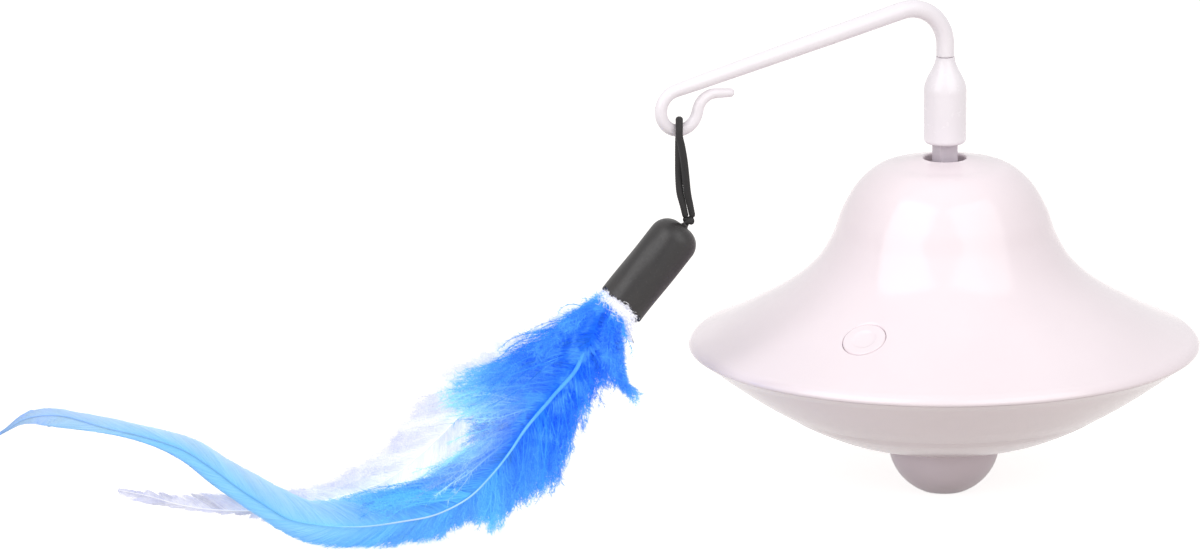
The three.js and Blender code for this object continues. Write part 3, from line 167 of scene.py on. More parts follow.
def rounded_box(half_x, half_y, radius, steps):
    signs = ((1, 1), (-1, 1), (-1, -1), (1, -1))
    return rounded([(x * half_x, y * half_y, radius) for x, y in signs], closed=True, steps=steps)


def normals_of(outline):
    slope = tangents(outline)
    return np.stack([-slope[:, 1], slope[:, 0]], axis=1)


def offset(outline, distance):
    return outline + distance * normals_of(outline)


def with_depth(flat, depth):
    return np.stack([flat[:, 0], np.broadcast_to(depth, len(flat)), flat[:, 1]], axis=1)


# Meshes
def quads(rows, columns, wrap_rows=False, wrap_columns=False):
    """The faces of a grid of rows by columns, numbered row by row."""
    row = np.arange(rows if wrap_rows else rows - 1)[:, None]
    column = np.arange(columns if wrap_columns else columns - 1)[None, :]
    next_row, next_column = (row + 1) % rows, (column + 1) % columns
    corners = [
        row * columns + column,
        row * columns + next_column,
        next_row * columns + next_column,
        next_row * columns + column,
    ]
    return np.stack(corners, axis=-1).reshape(-1, 4)


def mesh_from(name, points, faces):
    mesh = bpy.data.meshes.new(name)
    mesh.vertices.add(len(points))
    mesh.vertices.foreach_set("co", (np.asarray(points, float) * MM).astype(np.float32).ravel())
    mesh.loops.add(faces.size)
    mesh.loops.foreach_set("vertex_index", faces.astype(np.int32).ravel())
    mesh.polygons.add(len(faces))
    starts = np.arange(0, faces.size, faces.shape[1], dtype=np.int32)
    mesh.polygons.foreach_set("loop_start", starts)
    mesh.update(calc_edges=True)
    return mesh


def welded(mesh):
    """Joins a mesh's doubled points and turns its faces outward."""
    work = bmesh.new()
    work.from_mesh(mesh)
    bmesh.ops.remove_doubles(work, verts=work.verts, dist=1e-7)
    bmesh.ops.recalc_face_normals(work, faces=work.faces)
    work.to_mesh(mesh)
    work.free()
    return mesh


def skin(name, points, rings, sides, closed=False):
    """A tube over rings of points; a ring of one repeated point closes an end."""
    return welded(mesh_from(name, points.reshape(-1, 3), quads(rings, sides, closed, True)))


def shade(mesh, sharp):
    mesh.shade_smooth()
    mesh.set_sharp_from_angle(angle=math.radians(sharp))


def piece(mesh, body, slot, replaced, sharp, look=None):
    """A visible piece on its body, in its slot's look unless it has one of its own."""
    shade(mesh, sharp)
    mesh.materials.clear()
    mesh.materials.append(look or LOOKS[slot])
    made = new_object(mesh.name, mesh)
    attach(made, body)
    if replaced:
        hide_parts(*replaced)
    return made


def placed(points, place):
    matrix = np.array(place)
    return points @ matrix[:3, :3].T + matrix[:3, 3]


def axes_at(x, z, origin):
    place = Matrix((x, z.cross(x), z)).transposed().to_4x4()
    place.translation = origin
    return place


def round_z(radius, turn, height):
    flat = radius * np.cos(turn), radius * np.sin(turn)
    return np.stack([*flat, np.broadcast_to(height, flat[0].shape)], axis=-1)


def revolved(name, profile, segments, closed=False, place=None):
    """A profile of (radius, height) turned about +Z; closed when it runs round to its start."""
    profile = np.asarray(profile, float)
    points = round_z(profile[:, :1], circle(segments), profile[:, 1:]).reshape(-1, 3)
    if place is not None:
        points = placed(points, place)
    return skin(name, points, len(profile), segments, closed)


def spokes(sides, first, second):
    turn = circle(sides)
    return np.cos(turn)[None, :, None] * first[:, None] + np.sin(turn)[None, :, None] * second[:, None]


DOME_ANGLES = np.radians([25, 50, 72, 90])


def swept(name, path, radius, sides, normal, domed=(True, True)):
    """A tube along a path, its radius given for each ring or for each ring and side."""
    path = np.asarray(path, float)
    rings = len(path)
    radius = np.broadcast_to(radius if radius.ndim == 2 else radius[:, None], (rings, sides))
    slope = tangents(path)
    normals = np.zeros_like(path)
    current = np.asarray(normal, float)
    for i, along in enumerate(slope):
        current = current - current @ along * along
        current = current / np.linalg.norm(current)
        normals[i] = current
    spoke = spokes(sides, normals, np.cross(slope, normals))
    blocks = [path[:, None] + radius[:, :, None] * spoke]
    for end, sign, dome in ((0, -1, domed[0]), (rings - 1, 1, domed[1])):
        bulge = radius[end].mean() if dome else 0
        layers = []
        for angle in DOME_ANGLES:
            out = path[end] + sign * bulge * math.sin(angle) * slope[end]
            layers.append(out + math.cos(angle) * radius[end][:, None] * spoke[end])
        layers = np.array(layers)
        blocks = blocks + [layers] if end else [layers[::-1]] + blocks
    points = np.concatenate(blocks)
    return skin(name, points, len(points), sides)


def cut(target, tool):
    """Takes the mesh tool away from the object target."""
    other = new_object("tool", tool)
    modifier = target.modifiers.new("cut", "BOOLEAN")
    modifier.operation = "DIFFERENCE"
    modifier.solver = "EXACT"
    modifier.object = other
    bpy.context.view_layer.update()
    depsgraph = bpy.context.evaluated_depsgraph_get()
    result = bpy.data.meshes.new_from_object(target.evaluated_get(depsgraph))
    target.modifiers.clear()
    result.name = target.name
    target.data = result
    bpy.data.objects.remove(other)


def values_of(items, key, kind=np.float32, width=3):
    """A property of all a mesh's points, corners or faces."""
    values = np.empty(len(items) * width, kind)
    items.foreach_get(key, values)
    return values if width == 1 else values.reshape(-1, width)


def shade_on(target, outline, falling):
    """Gives the corners that lie on a turned outline that outline's own normals."""
    mesh = target.data
    sign = -1 if falling else 1
    order = outline[:, 0] + sign * outline[:, 1]
    slope = tangents(outline)
    facing = np.stack([slope[:, 1], -slope[:, 0]], axis=1) * sign
    points = values_of(mesh.vertices, "co") / MM
    reach = np.hypot(points[:, 0], points[:, 1])
    share = reach + sign * points[:, 2]
    line = sampled(share, order, outline)
    near = np.hypot(reach - line[:, 0], points[:, 2] - line[:, 1]) < 0.03
    out = sampled(share, order, facing)
    radial = points[:, :2] / np.maximum(reach, 1e-6)[:, None]
    normal = unit(np.concatenate([radial * out[:, :1], out[:, 1:]], axis=1))
    corner = values_of(mesh.loops, "vertex_index", np.int32, 1)
    kept = values_of(mesh.corner_normals, "vector")
    total = values_of(mesh.polygons, "loop_total", np.int32, 1)
    flat = np.repeat(values_of(mesh.polygons, "normal"), total, axis=0)
    use = near[corner] & ((flat * normal[corner]).sum(axis=1) > 0.9)
    kept[use] = normal[corner][use]
    mesh.normals_split_custom_set(kept.tolist())


# Materials
def linear(*colour):
    """A colour of red, green and blue from 0 to 255 as the shader's linear values."""
    share = np.array(colour) / 255
    value = np.where(share <= 0.04045, share / 12.92, ((share + 0.055) / 1.055) ** 2.4)
    return (*value.tolist(), 1.0)


class Nodes:
    def __init__(self, tree):
        self.tree = tree

    def feed(self, socket, value):
        if isinstance(value, bpy.types.NodeSocket):
            self.tree.links.new(value, socket)
        else:
            socket.default_value = value

    def add(self, kind, settings=None, **inputs):
        node = self.tree.nodes.new(kind)
        for key, value in (settings or {}).items():
            setattr(node, key, value)
        for key, value in inputs.items():
            self.feed(node.inputs[key.replace("_", " ")], value)
        return node

    def joined(self, kind, settings, *inputs):
        """A node fed by its sockets' order, where their names repeat."""
        node = self.add(kind, settings)
        for socket, value in zip(node.inputs, inputs):
            self.feed(socket, value)
        return node.outputs[0]

    def any_ray(self, *kinds):
        """1 for rays of the kinds given, otherwise 0."""
        path = self.add("ShaderNodeLightPath").outputs
        found = path[kinds[0]]
        for kind in kinds[1:]:
            found = self.joined("ShaderNodeMath", {"operation": "MAXIMUM"}, found, path[kind])
        return found


class Look(Nodes):
    """A procedural material on a principled shader."""

    def __init__(self, name, **sockets):
        self.material = bpy.data.materials.new(name)
        self.material.use_nodes = True
        super().__init__(self.material.node_tree)
        self.shader = next(n for n in self.tree.nodes if n.type == "BSDF_PRINCIPLED")
        for socket, value in sockets.items():
            self.to(socket.replace("_", " "), value)
        self.place = self.add("ShaderNodeTexCoord").outputs["Object"]

    def to(self, socket, value):
        self.feed(self.shader.inputs[socket], value)

    def noise(self, scale, detail, rough=0.5, place=None):
        place = place or self.place
        node = self.add("ShaderNodeTexNoise", Vector=place, Scale=scale, Detail=detail, Roughness=rough)
        return node.outputs["Fac"]

    def ranged(self, source, low, high, start=0.3, end=0.7):
        """A smooth step from low, where the source is at start, to high, where it is at end."""
        limits = {"From_Min": start, "From_Max": end, "To_Min": low, "To_Max": high}
        settings = {"interpolation_type": "SMOOTHSTEP"}
        return self.add("ShaderNodeMapRange", settings, Value=source, **limits).outputs["Result"]

    def mixed(self, share, first, second, kind="MIX"):
        node = self.add("ShaderNodeMix", {"data_type": "RGBA", "blend_type": kind})
        for index, value in ((0, share), (6, first), (7, second)):
            self.feed(node.inputs[index], value)
        return node.outputs[2]

    def stretched(self, source, scale):
        return self.joined("ShaderNodeVectorMath", {"operation": "MULTIPLY"}, source, scale)

    def bump(self, source, strength, distance):
        node = self.add("ShaderNodeBump", Strength=strength, Distance=distance, Height=source)
        self.to("Normal", node.outputs["Normal"])


GRAIN_DEPTH, RUBBER_DEPTH = 0.00002, 0.00004


def moulded(name, colour, shade, roughness, spread, grain, relief, metallic=0.0):
    """Moulded plastic or cast metal: faint cloudy tone, uneven gloss and a fine grain."""
    look = Look(name, Metallic=metallic)
    cloud = look.ranged(look.noise(38.0, 4.0), 0.0, 1.0)
    look.to("Base Color", look.mixed(cloud, linear(*colour), linear(*shade)))
    fine = look.noise(grain, 3.0, 0.6)
    look.to("Roughness", look.ranged(fine, roughness - spread, roughness + spread))
    look.bump(fine, relief, GRAIN_DEPTH)
    return look.material


def rubber_look():
    look = Look("cap_black_rubber")
    cloud = look.ranged(look.noise(160.0, 5.0, 0.65), 0.0, 1.0, 0.35, 0.7)
    base = look.mixed(cloud, linear(38, 36, 37), linear(46, 43, 43))
    dust = look.ranged(look.noise(2100.0, 2.0), 0.0, 0.18, 0.63, 0.72)
    look.to("Base Color", look.mixed(dust, base, linear(92, 88, 88)))
    fine = look.noise(1300.0, 4.0, 0.7)
    look.to("Roughness", look.ranged(fine, 0.34, 0.46))
    look.bump(fine, 0.2, RUBBER_DEPTH)
    return look.material


def cord_look():
    look = Look("braided_elastic_black", Sheen_Weight=0.06, Sheen_Roughness=0.5)
    fine = look.noise(5200.0, 3.0, 0.6)
    look.to("Base Color", look.mixed(look.ranged(fine, 0.0, 1.0), linear(20, 19, 20), linear(44, 42, 43)))
    look.to("Roughness", look.ranged(fine, 0.6, 0.85))
    look.bump(fine, 0.4, RUBBER_DEPTH)
    return look.material


# The streaks' noise per millimetre, across the barbs and along them
FINE_STREAKS, BROAD_STREAKS = (3.4, 0.22, 0.0), (0.55, 0.09, 0.0)


def feather_look(name, glow, cloud, light):
    """Barbs coloured by the tint on their points, with lighter clouds and streaks along the barbs."""
    gloss = dict(Sheen_Weight=0.12, Sheen_Roughness=0.4, Specular_IOR_Level=0.2)
    # The emission is a painted glow: the barbs give off light in their own colour, so they look more brightly
    # lit than the lamps make them.
    look = Look(name, Emission_Strength=glow, **gloss)
    tint = look.add("ShaderNodeAttribute", {"attribute_name": "tint"}).outputs["Color"]
    barb = look.add("ShaderNodeAttribute", {"attribute_name": "barb"}).outputs["Vector"]
    fine = look.noise(1.0, 3.0, 0.6, look.stretched(barb, FINE_STREAKS))
    broad = look.noise(1.0, 2.0, 0.5, look.stretched(barb, BROAD_STREAKS))
    clouds = look.ranged(look.noise(190.0, 3.0, 0.6), 0.0, cloud, 0.44, 0.64)
    lifted = look.mixed(clouds, tint, linear(*light), "LIGHTEN")
    deep = look.mixed(1.0, lifted, tint, "MULTIPLY")
    shade = look.mixed(look.ranged(broad, 0.0, 0.1, 0.35, 0.68), lifted, deep)
    colour = look.mixed(look.ranged(fine, 0.0, 0.18, 0.4, 0.66), shade, deep)
    look.to("Base Color", colour)
    parts = look.add("ShaderNodeSeparateXYZ", Vector=barb)
    # Painted glow: the emission's colour is the barb's colour, weighted by the third value of its barb
    # attribute.
    look.to("Emission Color", look.mixed(parts.outputs["Z"], linear(0, 0, 0), colour))
    look.to("Roughness", look.ranged(fine, 0.55, 0.75))
    return look.material


# By slot: name, colour, cloudy shade, roughness and its spread, the grain's scale and relief, how metallic.
# The arm's slot is the gloss body's, but it has a look of its own.
MOULDED = {
    "body_gloss": ("gloss_white_plastic", (254, 242, 247), (251, 239, 244), 0.17, 0.03, 420, 0.03),
    "arm": ("arm_white_plastic", (255, 250, 254), (252, 246, 252), 0.24, 0.04, 700, 0.04),
    "foot_plastic": ("foot_plastic", (250, 239, 246), (245, 233, 240), 0.42, 0.06, 1500, 0.1),
    "shaft_plastic": ("shaft_plastic", (222, 212, 221), (212, 202, 212), 0.35, 0.06, 1200, 0.08),
    "inner_plastic": ("inner_plastic", (232, 226, 231), (222, 215, 221), 0.5, 0.06, 1400, 0.12),
    "steel": ("bright_steel", (196, 199, 204), (170, 173, 179), 0.3, 0.09, 2600, 0.1, 1.0),
    "weight_iron": ("cast_weight_iron", (112, 112, 116), (84, 84, 88), 0.55, 0.1, 1500, 0.5, 0.85),
    "brass": ("turned_brass", (214, 178, 98), (190, 152, 76), 0.32, 0.08, 2600, 0.1, 1.0),
    "board_green": ("board_green", (28, 96, 52), (22, 82, 43), 0.45, 0.08, 1800, 0.15),
    "cell_foil": ("cell_foil", (196, 199, 206), (176, 180, 188), 0.36, 0.08, 700, 0.4, 0.7),
    "switch_black": ("switch_black", (38, 37, 39), (28, 27, 29), 0.5, 0.08, 1600, 0.2),
    "lead_red": ("lead_insulation", (176, 34, 38), (150, 26, 30), 0.45, 0.06, 1500, 0.1),
}
LOOKS = {slot: moulded(*values) for slot, values in MOULDED.items()}
LOOKS["cap_rubber"] = rubber_look()
LOOKS["loop_black"] = cord_look()
# The first number is the strength of each feather's painted glow.
LOOKS["feather_blue"] = feather_look("feather_blue_dyed", 0.25, 0.8, (92, 180, 255))
LOOKS["feather_white"] = feather_look("feather_white_down", 0.34, 0.4, (252, 252, 255))


def dress_nodes():
    """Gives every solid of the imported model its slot's look."""
    slots = {part["node"]: part["material_slot"] for part in frame["record"]["subparts"]}
    for name, node in frame["nodes"].items():
        for holder in node.material_slots:
            holder.material = LOOKS[slots[name]]


dress_nodes()
# Frames of the moving parts: the wand's arm and the lure under the knot.
WAND_TURN = math.radians(207)
LURE_TURN = WAND_TURN - math.radians(6.3)
KNOT_REACH = 71.1


def turned(points, angle, origin=(0.0, 0.0, 0.0)):
    points = np.asarray(points, float)
    c, s = math.cos(angle), math.sin(angle)
    x, y = points[..., 0], points[..., 1]
    flat = np.stack([x * c - y * s, x * s + y * c, points[..., 2]], axis=-1)
    return flat + np.asarray(origin, float)


def on_wand(points):
    return turned(points, WAND_TURN)


LURE_ORIGIN = on_wand([KNOT_REACH, 0, 0])


def on_lure(points):
    return turned(points, LURE_TURN, LURE_ORIGIN)


# Elastic loop: a braided cord over the hook's rod and down to the knot on the cap
CORD_RADIUS, CORD_RINGS, CORD_SIDES = 0.8, 900, 40
CORD_ROUTE = [
    (70.29, 0.3, 77.4), (70.86, 0.24, 80), (71.57, 0.3, 83), (72.26, 0.8, 87), (73.18, 1.6, 91.5),
    (74.29, 2.41, 95.5), (75.13, 2.81, 98.3), (75.12, 2.78, 100.1), (74.49, 1.56, 101.25),
    (73.7, 0, 101.65), (72.91, -1.56, 101.25), (72.28, -2.78, 100.1), (72.27, -2.81, 98.3),
    (72.67, -2.32, 95.5), (73.07, -1.59, 91.5), (73.27, -1.1, 87), (73.06, -0.82, 83), (72.41, -0.55, 80),
    (71.89, -0.28, 77.4),
]
KNOT_CENTRE = np.array([-63.351, -32.279, 75.94])
KNOT_SCALE, KNOT_CORD, KNOT_RINGS, KNOT_SIDES = 0.31, 0.6, 240, 24
STRANDS, PITCH, BRAID_DEPTH = 8, 2.6, 0.11


def braid(length, rings, sides, radius):
    """The radius of a braided surface: crossing strands that pass over and under one another."""
    along = np.linspace(0, length, rings)[:, None] / PITCH * STRANDS / 2
    around = np.linspace(0, STRANDS / 2, sides, endpoint=False)[None, :]
    first, second = (around + along) % STRANDS, (around - along) % STRANDS
    over = (np.floor(first) + np.floor(second)) % 2 == 0
    crowns = [np.sqrt(np.clip(1 - (2 * (v % 1) - 1) ** 2, 0, 1)) for v in (first, second)]
    raised = np.where(over, crowns[0], crowns[1])
    lowered = np.where(over, crowns[1], crowns[0])
    return radius * (1 - BRAID_DEPTH + BRAID_DEPTH * np.maximum(raised, 0.45 * lowered))


def make_cord():
    path = on_wand(smooth(CORD_ROUTE, CORD_RINGS))
    around = np.cos(circle(CORD_SIDES))[None, :] ** 2
    # The cord is flattened where it hangs free above the knot.
    flatness = np.interp(path[:, 2], [78, 83], [0, 1])[:, None]
    radius = braid(lengths_of(path)[-1], CORD_RINGS, CORD_SIDES, CORD_RADIUS)
    radius = radius * (1 + flatness * (0.2 * around - 0.05))
    mesh = swept("elastic_loop", path, radius, CORD_SIDES, (1, 0, 0))
    loop = piece(mesh, "loop", "loop_black", ["lure_cord"], sharp=80)
    turn = np.linspace(0, 2 * math.pi, KNOT_RINGS)
    x = np.sin(turn) + 2 * np.sin(2 * turn)
    y = np.cos(turn) - 2 * np.cos(2 * turn)
    knot = np.stack([x, y, -1.35 * np.sin(3 * turn)], axis=1) * KNOT_SCALE + KNOT_CENTRE
    relief = braid(lengths_of(knot)[-1], KNOT_RINGS, KNOT_SIDES, KNOT_CORD)
    mesh = swept("loop_knot", knot, relief, KNOT_SIDES, (0.3, 1, 0))
    tied = piece(mesh, "loop", "loop_black", ["lure_knot"], sharp=80)


make_cord()

# Body
RIM_RADIUS, BODY_HEIGHT, RIM_HEIGHT = 63.2, 84.3, 38.4
SEAM_TOP, SEAM_BOTTOM = 36.4, 36.3
WALL = 2.0
# The bell's flank, in shares of its radius and of its height above the rim
BELL = [
    (0.12, 0.992), (0.18, 0.972), (0.26, 0.944), (0.338, 0.857), (0.402, 0.71), (0.437, 0.575),
    (0.491, 0.444), (0.555, 0.348), (0.64, 0.257), (0.751, 0.165), (0.86, 0.083), (0.925, 0.04),
]
LEDGE_RADIUS, LEDGE_HEIGHT = 40.8, 21.5


def bell_outline():
    points = [(r * RIM_RADIUS, RIM_HEIGHT + h * (BODY_HEIGHT - RIM_HEIGHT)) for r, h in BELL]
    start = [(5.75, BODY_HEIGHT)]
    rim = [(60.4, 39.35), (61.6, 38.8), (62.55, 38.05), (63.08, 37.25), (RIM_RADIUS, 36.85), (63.0, SEAM_TOP)]
    return smooth(start + points + rim, 260)


def dish_outline():
    points = [(47.1, 25.25), (55.6, 31.1), (60.4, 34.7), (61.8, 35.6), (62.8, SEAM_BOTTOM)]
    return smooth([(LEDGE_RADIUS, LEDGE_HEIGHT)] + points, 150)


def seat_on(outline, reach, bearing, down=False):
    """A frame on a turned outline with +Z out of it and +X up or down the slope."""
    height = np.interp(reach, outline[:, 0], outline[:, 1])
    along = sampled(reach, outline[:, 0], tangents(outline))
    x = Vector((along[0], 0, along[1])).normalized()
    z = Vector((-x.z, 0, x.x))
    if down:
        x, z = -x, -z
    return Matrix.Rotation(bearing, 4, "Z") @ axes_at(x, z, Vector((reach, 0, height)))


BUTTON_REACH, BUTTON_BEARING = 44.5, math.radians(242.9)
BUTTON_RADIUS, BUTTON_HOLE, HOLE_ROUNDING = 5.4, 5.55, 0.28
PORT_REACH, PORT_BEARING = 48.0, math.radians(90)
PORT_HALF_X, PORT_HALF_Y, PORT_CORNER = 2.25, 5.1, 2.1
SHELL_SIDES, COVER_SIDES, BALL_SIDES, BUTTON_SIDES, HOLE_SIDES = 288, 224, 160, 128, 96

bell = bell_outline()
dish = dish_outline()
button_seat = seat_on(bell, BUTTON_REACH, BUTTON_BEARING)
port_seat = seat_on(dish, PORT_REACH, PORT_BEARING, down=True)


def cutter(rings, heights, moved):
    """A mesh to cut a hole with, over flat rings at the heights given."""
    layers = [np.column_stack([ring, np.full(len(ring), height)]) for ring, height in zip(rings, heights)]
    return skin("hole", moved(np.vstack(layers)), len(rings), len(rings[0]))


def make_upper_shell():
    inner = offset(bell, -WALL)
    inner = inner[(inner[:, 1] > SEAM_TOP) & (inner[:, 0] > 7.0) & (inner[:, 0] < 60)]
    ledge = [(inner[-1, 0] + 0.4, SEAM_TOP)]
    lip = rounded([(8.0, 82.2, 0), (5.2, 82.2, 0.2), (5.2, BODY_HEIGHT, 0.5), (5.9, BODY_HEIGHT, 0)])
    profile = np.vstack([bell[1:], ledge, inner[::-1], lip[1:]])
    mesh = revolved("bell_shell", profile, SHELL_SIDES, closed=True)
    shell = piece(mesh, "housing", "body_gloss", ["upper_shell"], sharp=30)
    profile = [(0, -4), (BUTTON_HOLE, -4)]
    for angle in np.radians([90, 70, 50, 30, 15]):
        widening = HOLE_ROUNDING * (1 - math.sin(angle))
        profile.append((BUTTON_HOLE + widening, HOLE_ROUNDING * math.cos(angle) - HOLE_ROUNDING))
    profile += [(BUTTON_HOLE + 1.6, 1.2), (0, 1.2)]
    cut(shell, revolved("hole", profile, HOLE_SIDES, place=button_seat))
    shade_on(shell, bell, falling=True)


def make_lower_shell():
    inner = offset(dish, WALL)
    inner = inner[(inner[:, 1] < SEAM_BOTTOM - 0.3) & (inner[:, 0] < 60)]
    lip = [(inner[-1, 0] + 0.3, SEAM_BOTTOM)]
    foot = [(LEDGE_RADIUS - 0.4, 23.6), (LEDGE_RADIUS - 0.4, LEDGE_HEIGHT + 0.25)]
    profile = np.vstack([dish, lip, inner[::-1], foot])
    mesh = revolved("dish_shell", profile, SHELL_SIDES, closed=True)
    shell = piece(mesh, "housing", "body_gloss", ["lower_shell"], sharp=30)
    outline = rounded_box(PORT_HALF_X, PORT_HALF_Y, PORT_CORNER, steps=10)
    rings = [np.zeros_like(outline)]
    for growth in (0, 0, 0.3, 0.9):
        rings.append(outline * (1 + growth / np.linalg.norm(outline, axis=1, keepdims=True)))
    rings.append(np.zeros_like(outline))
    heights = (-5, -5, -0.35, 0.0, 0.7, 0.7)
    cut(shell, cutter(rings, heights, lambda points: placed(points, port_seat)))
    shade_on(shell, dish, falling=False)


def make_cover():
    outer = smooth([(14.0, 12.35), (18.8, 12.75), (27.3, 14.95), (37.4, 19.45), (40.35, 21.3)], 90)
    rim = rounded([(40.35, 21.3, 0), (40.6, 21.55, 0.1), (40.3, 23.3, 0.2), (38.4, 22.4, 0)])
    inner = offset(outer, WALL)
    inner = inner[(inner[:, 0] < 38) & (inner[:, 0] > 13.8)]
    profile = np.vstack([outer, rim[1:], inner[::-1], [(13.95, 14.2)]])
    mesh = revolved("base_cover", profile, COVER_SIDES, closed=True)
    piece(mesh, "housing", "body_gloss", ["bottom_cover"], sharp=30)


BALL_RADIUS, BALL_DEPTH, BALL_TOP, FLAT_RADIUS = 13.7, 13.06, 12.0, 5.4


def make_foot():
    angles = np.linspace(0, math.acos(FLAT_RADIUS / BALL_RADIUS), 60)
    bowl = [(BALL_RADIUS * math.cos(a), BALL_TOP - BALL_DEPTH * math.sin(a)) for a in angles]
    bowl[-1] = (FLAT_RADIUS, 0.0)
    collar = rounded([(12.6, 13.6, 0), (13.5, 13.6, 0.3), (13.5, 12.15, 0.1), (BALL_RADIUS, BALL_TOP, 0)])
    profile = np.vstack([[(0, 13.6)], collar, bowl, [(0, 0)]])
    mesh = revolved("ball_base", profile, BALL_SIDES)
    piece(mesh, "housing", "foot_plastic", ["ball_foot"], sharp=25)


def make_button():
    step = [(BUTTON_RADIUS, -1.3, 0.1), (6.3, -1.35, 0.1), (6.3, -2.2, 0.1), (0, -2.2, 0)]
    rim = rounded([(3.5, 0.15, 0), (BUTTON_RADIUS, 0.15, 0.4)] + step)
    dished = smooth([(0, -0.3), (1.2, -0.28), (2.3, -0.19), (2.85, -0.02), (3.2, 0.13), (3.5, 0.15)], 40)
    profile = np.vstack([dished, rim[1:]])
    mesh = revolved("push_button", profile, BUTTON_SIDES, place=button_seat)
    piece(mesh, "button", "body_gloss", ["power_button"], sharp=40)


make_upper_shell()
make_lower_shell()
make_cover()
make_foot()
make_button()


# Wand: the bottle-necked socket and the tapering rod with its hook and curl. NECK is (widening, height) in
# shares from the shoulder to the top, and TAPER (place, radius) in shares along the rod.
NECK = [
    (1, 0), (0.86, 0.21), (0.61, 0.41), (0.36, 0.58), (0.15, 0.75), (0.03, 0.9), (0, 1),
]
TAPER = [
    (0, 1), (0.35, 0.97), (0.66, 0.8), (0.74, 0.69), (0.9, 0.66), (0.97, 0.56), (1, 0.48),
]
SOCKET_RADIUS, COLLAR_RADIUS, SOCKET_SIDES = 5.3, 2.35, 144
SOCKET_TOP, SOCKET_SHOULDER, SOCKET_BOTTOM = 109.8, 101.7, 88.0
SOCKET_BORE, BORE_TOP, ROD_BORE, ROD_SEAT = 2.9, 98.8, 1.6, 101.0
SHAFT_WIDTH, SHAFT_GAP, SHAFT_TURN = 4.65, 0.15, math.radians(27)


def make_socket():
    start = (SOCKET_RADIUS, SOCKET_SHOULDER - 1.5)
    side = [(SOCKET_BORE, SOCKET_BOTTOM, 0), (SOCKET_RADIUS, SOCKET_BOTTOM, 1.2), (*start, 0)]
    side = rounded(side, steps=10)
    widening, rise = SOCKET_RADIUS - COLLAR_RADIUS, SOCKET_TOP - SOCKET_SHOULDER
    neck = [(COLLAR_RADIUS + r * widening, SOCKET_SHOULDER + h * rise) for r, h in NECK]
    neck = smooth([start] + neck, 60)
    bore = [(1.75, SOCKET_TOP), (ROD_BORE, SOCKET_TOP - 0.2), (ROD_BORE, ROD_SEAT), (0, ROD_SEAT)]
    profile = np.vstack([[(0, BORE_TOP), (SOCKET_BORE, BORE_TOP)], side, neck[1:], bore])
    mesh = revolved("arm_socket_body", profile, SOCKET_SIDES)
    socket = piece(mesh, "wand", "body_gloss", ["arm_socket"], sharp=40, look=LOOKS["arm"])
    half = SHAFT_WIDTH / 2 + SHAFT_GAP
    outline = rounded_box(half, half, 0.4, steps=4)
    rings = [outline * (size / half) for size in (0.0, half + 0.9, half, half, 0.0)]
    heights = (87.0, 87.0, 88.6, 98.9, 98.9)
    cut(socket, cutter(rings, heights, lambda points: turned(points, SHAFT_TURN)))
    shade(socket.data, 40)


def arc(centre, radius, first, last, count):
    angle = np.radians(np.linspace(first, last, count))
    return np.stack([centre[0] + radius * np.cos(angle), centre[1] + radius * np.sin(angle)], axis=1)


ROD_SLOPE, ROD_RADIUS, BEND_RADIUS, ROD_SIDES = 12.3, 2.25, 10.1, 36
HOOK_REACH, HOOK_RADIUS, HOOK_END, CURL_RADIUS = 73.7, 5.1, -172, 4.6


def rod_path():
    """The rod's middle line: up, over the bend, out along the slope, round the hook and into its curl."""
    slope = math.radians(ROD_SLOPE)
    bend = arc((BEND_RADIUS, 112.8), BEND_RADIUS, 180, 90 - ROD_SLOPE, 40)
    top_x = HOOK_REACH + HOOK_RADIUS * math.sin(slope)
    top_z = bend[-1][1] - (top_x - bend[-1][0]) * math.tan(slope)
    centre = (HOOK_REACH, top_z - HOOK_RADIUS * math.cos(slope))
    hook = arc(centre, HOOK_RADIUS, 90 - ROD_SLOPE, HOOK_END, 90)
    end, apart = math.radians(HOOK_END), HOOK_RADIUS + CURL_RADIUS
    curl_centre = (HOOK_REACH + apart * math.cos(end), centre[1] + apart * math.sin(end))
    curl = arc(curl_centre, CURL_RADIUS, 8, 95, 40)
    tail = curl[-1] + tangents(curl)[-1] * np.linspace(0.4, 4.0, 8)[:, None]
    line = spaced(np.vstack([[(0, 110.1)], bend, hook, curl, tail]), 520)
    eased = np.stack([blurred(column, 4) for column in line.T], axis=1)
    eased[0], eased[-1] = line[0], line[-1]
    return with_depth(eased, 0.0)


def make_rod():
    path = rod_path()
    share = lengths_of(path) / lengths_of(path)[-1]
    radius = blurred(ROD_RADIUS * table(TAPER, share), 12)
    # The rod's lower end is a spigot inside the socket.
    spigot = np.array([(0, 0, 102.0), (0, 0, 102.3), (0, 0, 109.9), (0, 0, 110.0)])
    path = np.vstack([spigot, path])
    radius = np.concatenate([[1.2, 1.4, 1.4, 2.15], radius])
    mesh = swept("hooked_rod", on_wand(path), radius, ROD_SIDES, on_wand([0, 1, 0]), domed=(False, True))
    piece(mesh, "wand", "body_gloss", ["arm_rod"], sharp=50, look=LOOKS["arm"])


make_socket()
make_rod()

# Lure cap: a domed rubber sleeve whose mouth is torn and uneven
CAP_CROWN = Vector((-64.477, -32.704, 74.602))
CAP_AXIS = Vector((0.62593, 0.23652, 0.74314)).normalized()
CAP_SIDE = Vector((0.35347, -0.93544, 0)).normalized()
CAP_RADIUS, CAP_LENGTH, CAP_DOME, CAP_BORE = 6.2, 25.2, 4.6, 4.9
CAP_SEGMENTS, WALL_RINGS, MOUTH_REACH, BORE_DEPTH = 220, 60, 4, 8
CAP_NECK = [(0, 1.3), (0.45, 1.25), (0.7, 0.95), (0.82, 0.5), (1.1, 0.08), (2.0, -0.05)]
# The torn mouth's waves: how many go round, how high each is and where it starts
MOUTH_WAVES = [
    (1, 0.5, 2.4), (3, 0.26, 0.7), (5, 0.2, 3.3), (9, 0.18, 2.1), (17, 0.16, 4.4), (31, 0.14, 1.2),
]

cap_seat = axes_at(CAP_SIDE, CAP_AXIS, CAP_CROWN)


